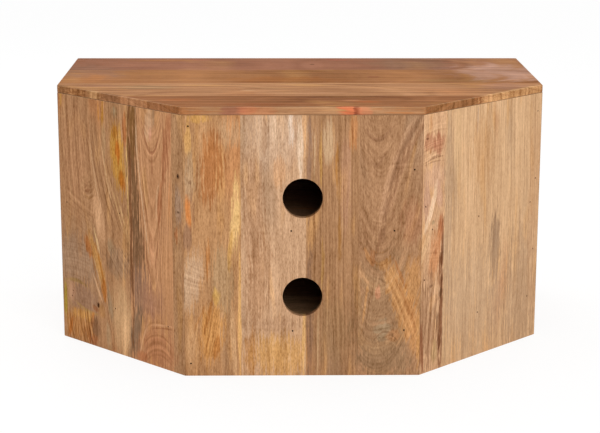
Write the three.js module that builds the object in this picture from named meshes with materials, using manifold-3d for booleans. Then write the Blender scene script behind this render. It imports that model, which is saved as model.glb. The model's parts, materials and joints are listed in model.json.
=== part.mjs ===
// A corner television cabinet in solid mango wood. Seen from above it has six sides: a wide
// front with two doors, two short square sides, two long sides that slant at 45 degrees to lie
// along the walls of a room's corner, and a narrow back with two round cable holes.
// Millimetres, +Z up. The doors face -Y, and the floor is at z = 0.
import * as THREE from "three";
import { mergeVertices } from "three/addons/utils/BufferGeometryUtils.js";
import Module from "manifold-3d";

const wasm = await Module();
wasm.setup();

// Case
const caseWidth = 1024;
const caseHeight = 550;
const backWidth = 474;
const sideDepth = 400;
// A room's corner is square, so each slanted side turns by the same angle at both of its ends.
const wallTurn = Math.PI / 4;
const topThickness = 16;
const wallThickness = 16;
const cornerRadius = 4;
const topArris = 2;
const cableHoleRadius = 40;
const lowerHoleRise = 63;
const upperHoleRise = 58;

// Bottom board and shelf
const floorThickness = 16;
const shelfThickness = 16;
const plinthHeight = 86;
const shelfRise = 207;
const boardClearance = 1;
const shelfArris = 1.5;
const shelfSetback = 4;

// Cleats that carry the boards
const cleatSize = 20;
const cleatEndGap = 12;

// Face frame round the doors
const faceThickness = 18;
const faceStileWidth = 44;
const faceTopRailHeight = 34;
const faceTenonLength = 14;
const faceTenonThickness = 7;
const faceTenonShoulder = 6;

// Doors
const doorThickness = 18;
const doorGap = 2;
const doorStileWidth = 56;
const doorRailHeight = 56;
const doorArris = 1.2;
const doorTenonLength = 22;
const grooveWidth = 6;
const grooveDepth = 9;
const panelEndGap = 1.5;
const fieldRise = 3;
const fieldBevel = 14;
const fieldReveal = 8;

// Butt hinges
const hingeLength = 50;
const hingeInset = 58;
const knuckleCount = 5;
const knuckleRadius = 3.2;
const pinRadius = 1.5;
const pinTipRadius = 2.6;
const pinTipHeight = 4;
const leafThickness = 1.5;
const leafReach = 14;
const leafProudShare = 0.35;
const leafScrewRadius = 1.7;
const leafSinkRadius = 3.3;
const leafScrewSpreadShare = 0.34;
const leafScrewStaggerShare = 0.18;

// Knobs
const knobRadius = 15;
const knobProjection = 27;
const knobNeckRadius = 6;
const knobRoseRadius = 11;
const knobRoseHeight = 3;
const knobRimHeight = 3;
const knobScrewRadius = 2;
const knobScrewBite = 10;
const screwHeadRadius = 4.5;
const screwHeadHeight = 2.4;

// Double magnetic catch under the shelf, and the steel plate that each door brings to it
const catchWidth = 54;
const catchHeight = 13;
const catchDepth = 14;
const catchRecess = 4;
const magnetWidth = 14;
const magnetHeight = 7;
const magnetProud = 1;
const strikeWidth = 18;
const strikeHeight = 11;
const strikeThickness = 1.2;

// Fits
const jointGap = 0.3;
const cutOverrun = 2;
const weldDistance = 1e-3;

// Faces round a bore, a knob, a cable hole and a rounded corner
const boreFacets = 16;
const knobFacets = 28;
const cableHoleFacets = 48;
const cornerFacets = 3;

// Places worked out from the sizes above
const halfWidth = caseWidth / 2;
const slantRun = (caseWidth - backWidth) / 2;
const slantDepth = slantRun / Math.tan(wallTurn);
const caseDepth = sideDepth + slantDepth;
const mitreShare = Math.tan(wallTurn / 2);
const wallTop = caseHeight - topThickness - jointGap;
const floorTop = plinthHeight + floorThickness;
const shelfTop = floorTop + shelfRise;
const shelfBottom = shelfTop - shelfThickness;
const doorwayHalf = halfWidth - faceStileWidth;
const doorwayTop = wallTop - faceTopRailHeight;
const doorInner = doorGap / 2;
const doorOuter = doorwayHalf - doorGap;
const doorBottom = floorTop + doorGap;
const doorTop = doorwayTop - doorGap;
const doorMiddle = (doorBottom + doorTop) / 2;
const hingeX = doorwayHalf - doorGap / 2;
const hingeY = -(knuckleRadius + jointGap);
const leafHalfGap = doorGap * (1 / 2 - leafProudShare);
const leafOuter = leafHalfGap + leafThickness;
const leafRecess = leafOuter + jointGap - doorGap / 2;
const leafStart = knuckleRadius + jointGap;
const frontOfCase = -knobProjection - jointGap;

const mango = new THREE.MeshStandardMaterial({ color: 0xb98452, roughness: 0.58 });
const iron = new THREE.MeshStandardMaterial({ color: 0x2b2724, roughness: 0.45, metalness: 0.9 });
const brass = new THREE.MeshStandardMaterial({ color: 0x8a6a35, roughness: 0.4, metalness: 0.9 });
const steel = new THREE.MeshStandardMaterial({ color: 0x9c9c9a, roughness: 0.35, metalness: 1 });
const plastic = new THREE.MeshStandardMaterial({ color: 0x5b3a24, roughness: 0.5 });

// The case's own group, with the middle of the whole object's footprint at the origin.
const cabinet = new THREE.Group();
cabinet.position.y = -(caseDepth + frontOfCase) / 2;

// Each side's group is built as the right-hand one and mirrored for the left.
const right = new THREE.Group();
const left = new THREE.Group();
left.scale.x = -1;
cabinet.add(right, left);

function place(parent, name, geometry, material) {
  const mesh = new THREE.Mesh(geometry, material);
  mesh.name = name;
  parent.add(mesh);
  return mesh;
}

// The same piece on both sides of the cabinet, named after its side.
function placePair(name, geometry, material) {
  place(left, "left_" + name, geometry, material);
  place(right, "right_" + name, geometry, material);
}

function solidOf(geometry) {
  const bare = geometry.clone();
  bare.deleteAttribute("normal");
  bare.deleteAttribute("uv");
  const merged = mergeVertices(bare, weldDistance);
  const vertProperties = new Float32Array(merged.attributes.position.array);
  const triVerts = new Uint32Array(merged.index.array);
  return new wasm.Manifold(new wasm.Mesh({ numProp: 3, vertProperties, triVerts }));
}

function geometryOf(solid) {
  const mesh = solid.getMesh();
  const geometry = new THREE.BufferGeometry();
  geometry.setAttribute("position", new THREE.BufferAttribute(mesh.vertProperties, 3));
  geometry.setIndex(new THREE.BufferAttribute(mesh.triVerts, 1));
  const flat = geometry.toNonIndexed();
  flat.computeVertexNormals();
  return flat;
}

const cut = (geometry, ...tools) =>
  geometryOf(tools.reduce((solid, tool) => solid.subtract(solidOf(tool)), solidOf(geometry)));

const join = (...geometries) =>
  geometryOf(geometries.map(solidOf).reduce((whole, next) => whole.add(next)));

// A block between two opposite corners.
function block([x0, y0, z0], [x1, y1, z1]) {
  const geometry = new THREE.BoxGeometry(x1 - x0, y1 - y0, z1 - z0);
  return geometry.translate((x0 + x1) / 2, (y0 + y1) / 2, (z0 + z1) / 2);
}

// A closed outline through the given corners, with each of them rounded.
function roundedOutline(corners, radius) {
  const outline = new THREE.Shape();
  corners.forEach((corner, i) => {
    const before = corners[(i + corners.length - 1) % corners.length];
    const after = corners[(i + 1) % corners.length];
    const arrive = before.clone().sub(corner).setLength(radius).add(corner);
    const leave = after.clone().sub(corner).setLength(radius).add(corner);
    if (i === 0) outline.moveTo(arrive.x, arrive.y);
    else outline.lineTo(arrive.x, arrive.y);
    outline.quadraticCurveTo(corner.x, corner.y, leave.x, leave.y);
  });
  outline.closePath();
  return outline;
}

// A flat board of an outline, lying from z = bottom upwards, with its long edges eased.
function board(outline, bottom, thickness, arris) {
  const geometry = new THREE.ExtrudeGeometry(outline, {
    depth: thickness - 2 * arris,
    bevelThickness: arris,
    bevelSize: arris,
    bevelOffset: -arris,
    bevelSegments: 2,
    curveSegments: cornerFacets,
  });
  return geometry.translate(0, 0, bottom + arris);
}

// The case's outline from above, drawn in by the same distance along every wall.
function planCorners(inset, front) {
  const wide = halfWidth - inset;
  const shoulder = sideDepth - inset * mitreShare;
  const narrow = backWidth / 2 - inset * mitreShare;
  const back = caseDepth - inset;
  const half = [
    [wide, front],
    [wide, shoulder],
    [narrow, back],
  ];
  const other = half.map(([x, y]) => [-x, y]).reverse();
  return [...half, ...other].map(([x, y]) => new THREE.Vector2(x, y));
}

// A wall's own frame: x runs along its outer face and y points into the cabinet.
function onWall(geometry, [startX, startY], turn) {
  return geometry.rotateZ(turn).translate(startX, startY, 0);
}
const sideWall = { start: [halfWidth, 0], turn: Math.PI / 2, length: sideDepth };
const slantLength = Math.hypot(slantRun, slantDepth);
const slantTurn = Math.PI / 2 + wallTurn;
const slantWall = { start: [halfWidth, sideDepth], turn: slantTurn, length: slantLength };
const backWall = { start: [backWidth / 2, caseDepth], turn: Math.PI, length: backWidth };

// A wall panel seen from above. A mitred end meets its neighbour on the line that halves the
// corner, and its outer tip is eased so that the two make one blunt corner.
function wallPanel(length, mitredStart, startInset) {
  const tip = cornerRadius * mitreShare;
  const tipDepth = cornerRadius / Math.cos(wallTurn / 2) - cornerRadius;
  const shift = jointGap / 2 / Math.cos(wallTurn / 2);
  const mitre = (depth) => depth * mitreShare + shift;
  const outline = new THREE.Shape();
  if (mitredStart) {
    outline.moveTo(mitre(wallThickness), wallThickness);
    outline.lineTo(mitre(tipDepth), tipDepth);
    outline.lineTo(tip + shift, 0);
  } else {
    outline.moveTo(startInset, wallThickness);
    outline.lineTo(startInset, 0);
  }
  outline.lineTo(length - tip - shift, 0);
  outline.lineTo(length - mitre(tipDepth), tipDepth);
  outline.lineTo(length - mitre(wallThickness), wallThickness);
  outline.closePath();
  return new THREE.ExtrudeGeometry(outline, { depth: wallTop, bevelEnabled: false });
}

function cableHole(height) {
  const reach = wallThickness + 2 * cutOverrun;
  const hole = new THREE.CylinderGeometry(cableHoleRadius, cableHoleRadius, reach, cableHoleFacets);
  return hole.translate(backWidth / 2, wallThickness / 2, height);
}

const sidePanel = wallPanel(sideWall.length, false, faceThickness + jointGap);
placePair("side_panel", onWall(sidePanel, sideWall.start, sideWall.turn), mango);
const slantPanel = wallPanel(slantWall.length, true);
placePair("slant_panel", onWall(slantPanel, slantWall.start, slantWall.turn), mango);
const backPanel = cut(
  wallPanel(backWall.length, true),
  cableHole(floorTop + lowerHoleRise),
  cableHole(shelfTop + upperHoleRise),
);
place(cabinet, "back_panel", onWall(backPanel, backWall.start, backWall.turn), mango);

// Top, bottom board and shelf
const topOutline = roundedOutline(planCorners(0, 0), cornerRadius);
const topBottom = caseHeight - topThickness;
place(cabinet, "top_board", board(topOutline, topBottom, topThickness, topArris), mango);
const boardInset = wallThickness + boardClearance;
const floorOutline = new THREE.Shape(planCorners(boardInset, faceThickness + jointGap));
const floorShape = { depth: floorThickness, bevelEnabled: false };
const floorBoard = new THREE.ExtrudeGeometry(floorOutline, floorShape);
place(cabinet, "bottom_board", floorBoard.translate(0, 0, plinthHeight), mango);
const shelfFront = doorThickness + shelfSetback;
const shelfOutline = roundedOutline(planCorners(boardInset, shelfFront), cornerRadius);
place(cabinet, "shelf", board(shelfOutline, shelfBottom, shelfThickness, shelfArris), mango);

// A cleat on a wall's inner face, under a board whose underside is at the given height. It
// stops short of the corners, so that it clears the cleat on the next wall.
function cleat(wall, underside, startInset = 0) {
  const nearest = wallThickness + jointGap;
  const deepest = nearest + cleatSize;
  const cornerCut = deepest * mitreShare + cleatEndGap;
  const top = underside - jointGap;
  const from = [Math.max(startInset, cornerCut), nearest, top - cleatSize];
  const to = [wall.length - cornerCut, deepest, top];
  return onWall(block(from, to), wall.start, wall.turn);
}

const frontInset = faceThickness + cleatEndGap;
const boardUndersides = { bottom: plinthHeight, shelf: shelfBottom, top: topBottom };
for (const [name, underside] of Object.entries(boardUndersides)) {
  placePair(name + "_side_cleat", cleat(sideWall, underside, frontInset), mango);
  placePair(name + "_slant_cleat", cleat(slantWall, underside), mango);
  place(cabinet, name + "_back_cleat", cleat(backWall, underside), mango);
}
const plinthCleatY = faceThickness + jointGap;
const plinthCleatHalf = doorwayHalf - cleatEndGap;
const plinthCleat = block(
  [-plinthCleatHalf, plinthCleatY, plinthHeight - jointGap - cleatSize],
  [plinthCleatHalf, plinthCleatY + cleatSize, plinthHeight - jointGap],
);
place(cabinet, "bottom_front_cleat", plinthCleat, mango);

// Face frame: two rails with stub tenons in two stiles.
const faceRails = [
  { name: "face_bottom_rail", bottom: 0, top: floorTop },
  { name: "face_top_rail", bottom: doorwayTop, top: wallTop },
];
function faceTenon(rail, slack) {
  const half = faceTenonThickness / 2 + slack;
  const middle = faceThickness / 2;
  const reach = doorwayHalf + faceTenonLength + slack;
  const low = rail.bottom + faceTenonShoulder - slack;
  const high = rail.top - faceTenonShoulder + slack;
  return block([-reach, middle - half, low], [reach, middle + half, high]);
}
for (const rail of faceRails) {
  const shoulder = doorwayHalf - jointGap;
  const body = block([-shoulder, 0, rail.bottom], [shoulder, faceThickness, rail.top]);
  place(cabinet, rail.name, join(body, faceTenon(rail, 0)), mango);
}

// The two hinges of a door, by the height of their middles.
const hingeHeights = [
  ["lower", doorBottom + hingeInset + hingeLength / 2],
  ["upper", doorTop - hingeInset - hingeLength / 2],
];

// The shallow recess that lets a hinge leaf into the edge of a stile, to one side of the gap.
function leafRecessTool(towards, middle) {
  const edge = hingeX + towards * doorInner;
  const floor = edge + towards * leafRecess;
  const mouth = edge - towards * cutOverrun;
  const half = hingeLength / 2 + jointGap;
  const deep = hingeY + leafStart + leafReach + jointGap;
  return block(
    [Math.min(floor, mouth), -cutOverrun, middle - half],
    [Math.max(floor, mouth), deep, middle + half],
  );
}

const faceStile = cut(
  block([doorwayHalf, 0, 0], [halfWidth, faceThickness, wallTop]),
  ...faceRails.map((rail) => faceTenon(rail, jointGap)),
  ...hingeHeights.map(([, middle]) => leafRecessTool(1, middle)),
);
placePair("face_stile", faceStile, mango);

// Door frame: rails tenoned into stiles, with a groove round the inside for the panel. The
// tenons stop short of both edges by the depth of the groove.
const doorRails = [
  { name: "door_bottom_rail", bottom: doorBottom, top: doorBottom + doorRailHeight },
  { name: "door_top_rail", bottom: doorTop - doorRailHeight, top: doorTop },
];
const panelOpening = {
  inner: doorInner + doorStileWidth,
  outer: doorOuter - doorStileWidth,
  bottom: doorRails[0].top,
  top: doorRails[1].bottom,
};
const grooveMiddle = doorThickness / 2;

function doorTenon(rail, slack) {
  const half = grooveWidth / 2 - jointGap + slack;
  const reach = doorTenonLength + slack;
  const low = rail.bottom + grooveDepth - slack;
  const high = rail.top - grooveDepth + slack;
  return block(
    [panelOpening.inner - reach, grooveMiddle - half, low],
    [panelOpening.outer + reach, grooveMiddle + half, high],
  );
}

// A slab in the middle of the door's thickness that reaches past the panel's opening.
function panelSlab(reach, halfThickness) {
  return block(
    [panelOpening.inner - reach, grooveMiddle - halfThickness, panelOpening.bottom - reach],
    [panelOpening.outer + reach, grooveMiddle + halfThickness, panelOpening.top + reach],
  );
}
const panelGroove = panelSlab(grooveDepth, grooveWidth / 2);

// A frame member of a door between two corners, with the edges of both faces eased.
function easedBar(x0, x1, z0, z1) {
  const corners = [
    new THREE.Vector2(x0, z0),
    new THREE.Vector2(x1, z0),
    new THREE.Vector2(x1, z1),
    new THREE.Vector2(x0, z1),
  ];
  const bar = board(new THREE.Shape(corners), 0, doorThickness, doorArris);
  return bar.rotateX(Math.PI / 2).translate(0, doorThickness, 0);
}

const knobX = doorInner + doorStileWidth / 2;
// A turned piece, whose profile runs up from its base, stood out towards the front.
function facingFront(geometry, x, y, z) {
  return geometry.rotateX(Math.PI).translate(x, y, z);
}
const knobHole = new THREE.CylinderGeometry(
  knobScrewRadius + jointGap,
  knobScrewRadius + jointGap,
  doorThickness + 2 * cutOverrun,
  boreFacets,
);
const mortises = doorRails.map((rail) => doorTenon(rail, jointGap));
const meetingStile = cut(
  easedBar(doorInner, doorInner + doorStileWidth, doorBottom, doorTop),
  panelGroove,
  ...mortises,
  knobHole.translate(knobX, doorThickness / 2, doorMiddle),
);
const hingeStile = cut(
  easedBar(doorOuter - doorStileWidth, doorOuter, doorBottom, doorTop),
  panelGroove,
  ...mortises,
  ...hingeHeights.map(([, middle]) => leafRecessTool(-1, middle)),
);
placePair("door_meeting_stile", meetingStile, mango);
placePair("door_hinge_stile", hingeStile, mango);
for (const rail of doorRails) {
  const inner = panelOpening.inner + jointGap;
  const outer = panelOpening.outer - jointGap;
  const body = cut(easedBar(inner, outer, rail.bottom, rail.top), panelGroove);
  placePair(rail.name, join(body, doorTenon(rail, 0)), mango);
}

// Door panel: a tongue held loosely in the groove, with a raised and bevelled field in front.
const tongueHalf = grooveWidth / 2 - jointGap;
const tongue = panelSlab(grooveDepth - panelEndGap, tongueHalf);
const fieldOutline = new THREE.Shape([
  new THREE.Vector2(panelOpening.inner + fieldReveal, panelOpening.bottom + fieldReveal),
  new THREE.Vector2(panelOpening.outer - fieldReveal, panelOpening.bottom + fieldReveal),
  new THREE.Vector2(panelOpening.outer - fieldReveal, panelOpening.top - fieldReveal),
  new THREE.Vector2(panelOpening.inner + fieldReveal, panelOpening.top - fieldReveal),
]);
const field = new THREE.ExtrudeGeometry(fieldOutline, {
  depth: fieldRise,
  bevelThickness: fieldRise,
  bevelSize: fieldBevel,
  bevelOffset: -fieldBevel,
  bevelSegments: 1,
});
const fieldBack = grooveMiddle - tongueHalf + fieldRise;
const rearHalfOfField = block(
  [panelOpening.inner, grooveMiddle, panelOpening.bottom],
  [panelOpening.outer, fieldBack + 2 * fieldRise, panelOpening.top],
);
const frontOfField = cut(field.rotateX(Math.PI / 2).translate(0, fieldBack, 0), rearHalfOfField);
placePair("door_panel", join(tongue, frontOfField), mango);

// Butt hinge: two leaves whose knuckles interleave on one pin. It stands on z = 0, with its
// axis at the origin, and the leaf lies on the given side of the gap between door and stile.
const knucklePitch = hingeLength / knuckleCount;
function hingeLeaf(towards, firstKnuckle) {
  const near = towards * leafHalfGap;
  const far = towards * leafOuter;
  const span = (y0, y1, z0, z1) =>
    block([Math.min(near, far), y0, z0], [Math.max(near, far), y1, z1]);
  const pieces = [span(leafStart, leafStart + leafReach, 0, hingeLength)];
  for (let i = firstKnuckle; i < knuckleCount; i += 2) {
    const low = i * knucklePitch + jointGap / 2;
    const high = (i + 1) * knucklePitch - jointGap / 2;
    const barrel = new THREE.CylinderGeometry(knuckleRadius, knuckleRadius, high - low, boreFacets);
    pieces.push(barrel.rotateX(Math.PI / 2).translate(0, 0, (low + high) / 2));
    pieces.push(span(0, leafStart + leafThickness, low, high));
  }
  const boreRadius = pinRadius + jointGap;
  const boreLength = hingeLength + 2 * cutOverrun;
  const bore = new THREE.CylinderGeometry(boreRadius, boreRadius, boreLength, boreFacets);
  const screwHoles = [-1, 0, 1].map((row) => {
    const sizes = [leafScrewRadius, leafSinkRadius, leafThickness];
    const sink = new THREE.CylinderGeometry(...sizes, boreFacets);
    const stagger = (row === 0 ? -1 : 1) * leafScrewStaggerShare * leafReach;
    const y = leafStart + leafReach / 2 + stagger;
    const z = hingeLength * (1 / 2 + row * leafScrewSpreadShare);
    return sink.rotateZ(-towards * Math.PI / 2).translate((near + far) / 2, y, z);
  });
  const boreTool = bore.rotateX(Math.PI / 2).translate(0, 0, hingeLength / 2);
  return cut(join(...pieces), boreTool, ...screwHoles);
}

function hingePin() {
  const profile = new THREE.Path();
  const tip = jointGap + pinTipHeight;
  profile.moveTo(0, -tip);
  profile.quadraticCurveTo(pinTipRadius, -tip, pinTipRadius, -jointGap - pinTipHeight / 2);
  profile.lineTo(pinTipRadius, -jointGap);
  profile.lineTo(pinRadius, -jointGap);
  profile.lineTo(pinRadius, hingeLength + jointGap);
  profile.lineTo(pinTipRadius, hingeLength + jointGap);
  profile.lineTo(pinTipRadius, hingeLength + jointGap + pinTipHeight / 2);
  profile.quadraticCurveTo(pinTipRadius, hingeLength + tip, 0, hingeLength + tip);
  const pin = new THREE.LatheGeometry(profile.getPoints(cornerFacets), boreFacets);
  return pin.rotateX(Math.PI / 2);
}

for (const [name, middle] of hingeHeights) {
  const stand = (geometry) => geometry.translate(hingeX, hingeY, middle - hingeLength / 2);
  placePair(name + "_hinge_frame_leaf", stand(hingeLeaf(1, 0)), brass);
  placePair(name + "_hinge_door_leaf", stand(hingeLeaf(-1, 1)), brass);
  placePair(name + "_hinge_pin", stand(hingePin()), brass);
}

// Knob: a rose against the door, a waisted neck and a flattened round head.
function knobProfile() {
  const headMiddle = knobProjection - knobRimHeight - knobRadius / 3;
  const profile = new THREE.Path();
  profile.moveTo(0, 0);
  profile.lineTo(knobRoseRadius, 0);
  profile.lineTo(knobRoseRadius, knobRoseHeight / 2);
  profile.quadraticCurveTo(knobNeckRadius, knobRoseHeight / 2, knobNeckRadius, knobRoseHeight * 2);
  profile.quadraticCurveTo(knobNeckRadius, headMiddle - knobRimHeight, knobRadius, headMiddle);
  profile.lineTo(knobRadius, headMiddle + knobRimHeight);
  profile.quadraticCurveTo(knobRadius, knobProjection, 0, knobProjection);
  return profile;
}
const knobBody = new THREE.LatheGeometry(knobProfile().getPoints(boreFacets / 4), knobFacets);
const knobBore = new THREE.CylinderGeometry(
  knobScrewRadius + jointGap,
  knobScrewRadius + jointGap,
  2 * (knobScrewBite + jointGap),
  boreFacets,
);
placePair("knob", facingFront(cut(knobBody, knobBore), knobX, -jointGap, doorMiddle), iron);

// The screw that holds a knob, put in from behind the door.
const screwReach = doorThickness + knobScrewBite;
const screwProfile = new THREE.Path();
screwProfile.moveTo(0, -screwHeadHeight);
const headRim = -screwHeadHeight / 3;
screwProfile.quadraticCurveTo(screwHeadRadius, -screwHeadHeight, screwHeadRadius, headRim);
screwProfile.lineTo(screwHeadRadius, 0);
screwProfile.lineTo(knobScrewRadius, 0);
screwProfile.lineTo(knobScrewRadius, screwReach);
screwProfile.lineTo(0, screwReach);
const knobScrew = new THREE.LatheGeometry(screwProfile.getPoints(cornerFacets), boreFacets);
placePair("knob_screw", facingFront(knobScrew, knobX, doorThickness + jointGap, doorMiddle), steel);

// Magnetic catch
const strikeX = doorInner + strikeWidth / 2 + doorArris * 2;
const strikeBack = doorThickness + jointGap + strikeThickness;
const catchTop = shelfBottom - jointGap;
const catchMiddle = catchTop - catchHeight / 2;
const magnetFace = strikeBack + jointGap;
const catchFront = magnetFace + magnetProud;
function magnetBlock(slack) {
  const half = magnetWidth / 2 + slack;
  const rise = magnetHeight / 2 + slack;
  return block(
    [strikeX - half, magnetFace, catchMiddle - rise],
    [strikeX + half, catchFront + catchRecess + slack, catchMiddle + rise],
  );
}
const catchBody = block(
  [-catchWidth / 2, catchFront, catchTop - catchHeight],
  [catchWidth / 2, catchFront + catchDepth, catchTop],
);
const pocket = magnetBlock(jointGap);
const otherPocket = magnetBlock(jointGap).translate(-2 * strikeX, 0, 0);
place(cabinet, "catch_body", cut(catchBody, pocket, otherPocket), plastic);
placePair("catch_magnet", magnetBlock(0), steel);
const strike = block(
  [strikeX - strikeWidth / 2, doorThickness + jointGap, catchMiddle - strikeHeight / 2],
  [strikeX + strikeWidth / 2, strikeBack, catchMiddle + strikeHeight / 2],
);
placePair("strike_plate", strike, steel);

export default cabinet;
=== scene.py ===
# A corner television cabinet in solid mango wood: the finish of its boards and fittings, and its
# screws and pins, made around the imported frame. Metres, +Z up. The doors face -Y.
import itertools
import json
import math
import random
from collections import namedtuple

import bmesh
import bpy
from mathutils import Matrix, Vector


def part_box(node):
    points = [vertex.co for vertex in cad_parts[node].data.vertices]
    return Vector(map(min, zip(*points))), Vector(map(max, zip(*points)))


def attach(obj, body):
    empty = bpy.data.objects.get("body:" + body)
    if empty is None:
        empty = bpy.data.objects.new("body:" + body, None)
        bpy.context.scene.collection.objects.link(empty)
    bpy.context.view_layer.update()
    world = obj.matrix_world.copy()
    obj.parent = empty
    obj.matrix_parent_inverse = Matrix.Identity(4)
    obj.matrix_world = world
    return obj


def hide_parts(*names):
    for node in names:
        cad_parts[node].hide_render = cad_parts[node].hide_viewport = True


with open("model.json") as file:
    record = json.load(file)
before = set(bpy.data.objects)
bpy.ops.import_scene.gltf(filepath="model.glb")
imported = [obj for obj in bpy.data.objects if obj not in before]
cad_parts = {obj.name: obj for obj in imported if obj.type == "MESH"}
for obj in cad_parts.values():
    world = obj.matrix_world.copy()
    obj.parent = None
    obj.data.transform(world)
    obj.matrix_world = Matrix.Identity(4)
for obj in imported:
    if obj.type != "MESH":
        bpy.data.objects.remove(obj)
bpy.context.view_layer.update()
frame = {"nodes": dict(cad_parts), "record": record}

MM = 0.001

# Sizes that the patterns and fastenings follow, from the frame
top_low, top_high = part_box("top_board")
half_width = top_high.x
front_y = top_low.y
back_y = top_high.y
whole_depth = back_y - front_y
case_height = top_high.z
shoulder_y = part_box("right_side_panel")[1].y
half_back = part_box("back_panel")[1].x
slant_length = math.hypot(half_width - half_back, back_y - shoulder_y)
side_length = shoulder_y - front_y
cleat_face_depth = back_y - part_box("top_back_cleat")[0].y

SIDES = ("left", "right")
LEVELS = ("bottom", "shelf", "top")

# A wall's own frame: x runs along its outer face and y points into the cabinet
Wall = namedtuple("Wall", "corner turn length")
WALLS = {
    "right_side": Wall((half_width, front_y), math.radians(90), side_length),
    "right_slant": Wall((half_width, shoulder_y), math.radians(135), slant_length),
    "back": Wall((half_back, back_y), math.radians(180), 2 * half_back),
    "left_slant": Wall((-half_back, back_y), math.radians(225), slant_length),
    "left_side": Wall((-half_width, shoulder_y), math.radians(270), side_length),
}


def outward(wall):
    """The way that a wall's outer face looks."""
    return Vector((math.sin(wall.turn), -math.cos(wall.turn), 0))


def on_wall(wall, along, height, depth=0.0):
    """A point in a wall's own frame, as a point of the cabinet."""
    run = Vector((math.cos(wall.turn), math.sin(wall.turn), 0))
    return Vector((*wall.corner, height)) + run * along - outward(wall) * depth


def cleat_node(wall_name, level):
    """The cleat that a wall carries under the bottom board, the shelf or the top."""
    side, _, part = wall_name.rpartition("_")
    return "_".join(filter(None, (side, level, part, "cleat")))


# Camera, at the photograph's viewpoint
def add_camera():
    place = Vector((0.06506, 3.63125, 1.11144))
    yaw, pitch, roll = (math.radians(angle) for angle in (1.04273, 13.37742, 0.14166))
    right = Vector((-math.cos(yaw), math.sin(yaw), 0))
    ahead = Vector((-math.sin(yaw), -math.cos(yaw), 0)) * math.cos(pitch)
    ahead.z = -math.sin(pitch)
    up = right.cross(ahead)
    level = right * math.cos(roll) + up * math.sin(roll)
    upright = up * math.cos(roll) - right * math.sin(roll)
    data = bpy.data.cameras.new("camera")
    data.sensor_width = 36
    data.lens = 102.258
    data.shift_y = -0.0006
    camera = bpy.data.objects.new("camera", data)
    turned = Matrix((level, upright, -ahead)).transposed().to_4x4()
    camera.matrix_world = Matrix.Translation(place) @ turned
    bpy.context.scene.collection.objects.link(camera)
    bpy.context.scene.camera = camera


add_camera()


# Node trees
class Wire:
    """An output in a node tree, which adds, subtracts and multiplies like a number."""

    def __init__(self, nodes, socket):
        self.nodes = nodes
        self.socket = socket

    def __add__(self, other):
        return self.nodes.math("ADD", self, other)

    def __sub__(self, other):
        return self.nodes.math("SUBTRACT", self, other)

    def __rsub__(self, other):
        return self.nodes.math("SUBTRACT", other, self)

    def __mul__(self, other):
        return self.nodes.math("MULTIPLY", self, other)

    __radd__ = __add__
    __rmul__ = __mul__


class Nodes:
    """The nodes of a tree. Each call adds a node and returns its output as a wire."""

    def __init__(self, tree):
        tree.nodes.clear()
        self.tree = tree

    def add(self, kind, inputs=None, output=0, **settings):
        node = self.tree.nodes.new(kind)
        for name, value in settings.items():
            setattr(node, name, value)
        for socket, value in (inputs or {}).items():
            if isinstance(value, Wire):
                self.tree.links.new(value.socket, node.inputs[socket])
            else:
                node.inputs[socket].default_value = value
        return Wire(self, node.outputs[output])

    def math(self, operation, *values):
        return self.add("ShaderNodeMath", dict(enumerate(values)), operation=operation)

    def vector(self, x=0.0, y=0.0, z=0.0):
        return self.add("ShaderNodeCombineXYZ", {0: x, 1: y, 2: z})

    def split(self, vector):
        first = self.add("ShaderNodeSeparateXYZ", {0: vector})
        return [Wire(self, socket) for socket in first.socket.node.outputs]

    def length(self, vector):
        return self.add("ShaderNodeVectorMath", {0: vector}, output=1, operation="LENGTH")

    def framed(self, vector, centre, turn=0.0, size=(1, 1, 1)):
        """The vector as measured from a centre, along turned axes, in units of a size."""
        inputs = {0: vector, 1: centre, 2: (0, 0, turn), 3: size}
        return self.add("ShaderNodeMapping", inputs, vector_type="TEXTURE")

    def noise(self, vector, detail):
        return self.add("ShaderNodeTexNoise", {"Vector": vector, "Scale": 1.0, "Detail": detail})

    def ease(self, value, low, high):
        """0 where the value is at low, 1 where it is at high, and a smooth step between."""
        inputs = {0: value, 1: low, 2: high}
        return self.add("ShaderNodeMapRange", inputs, interpolation_type="SMOOTHSTEP")

    def mix(self, share, first, second, blend_type="MIX"):
        inputs = {0: share, 6: first, 7: second}
        return self.add("ShaderNodeMix", inputs, output=2, data_type="RGBA", blend_type=blend_type)

    def end(self, kind, result):
        """Ends the tree in an output node."""
        self.tree.links.new(result.socket, self.tree.nodes.new(kind).inputs[0])


class Group(Nodes):
    """A node group whose inputs are given by their names and kinds."""

    def __init__(self, name, tree_kind, input_kinds, result_kind):
        super().__init__(bpy.data.node_groups.new(name, tree_kind))
        self.identifiers = {}
        for socket_name, kind in input_kinds.items():
            self.identifiers[socket_name] = self.interface_socket(socket_name, kind, "INPUT").identifier
        self.interface_socket("Result", result_kind, "OUTPUT")
        given = self.tree.nodes.new("NodeGroupInput")
        self.given = {name: Wire(self, given.outputs[name]) for name in input_kinds}

    def interface_socket(self, name, kind, in_out):
        return self.tree.interface.new_socket(name, in_out=in_out, socket_type="NodeSocket" + kind)


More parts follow.
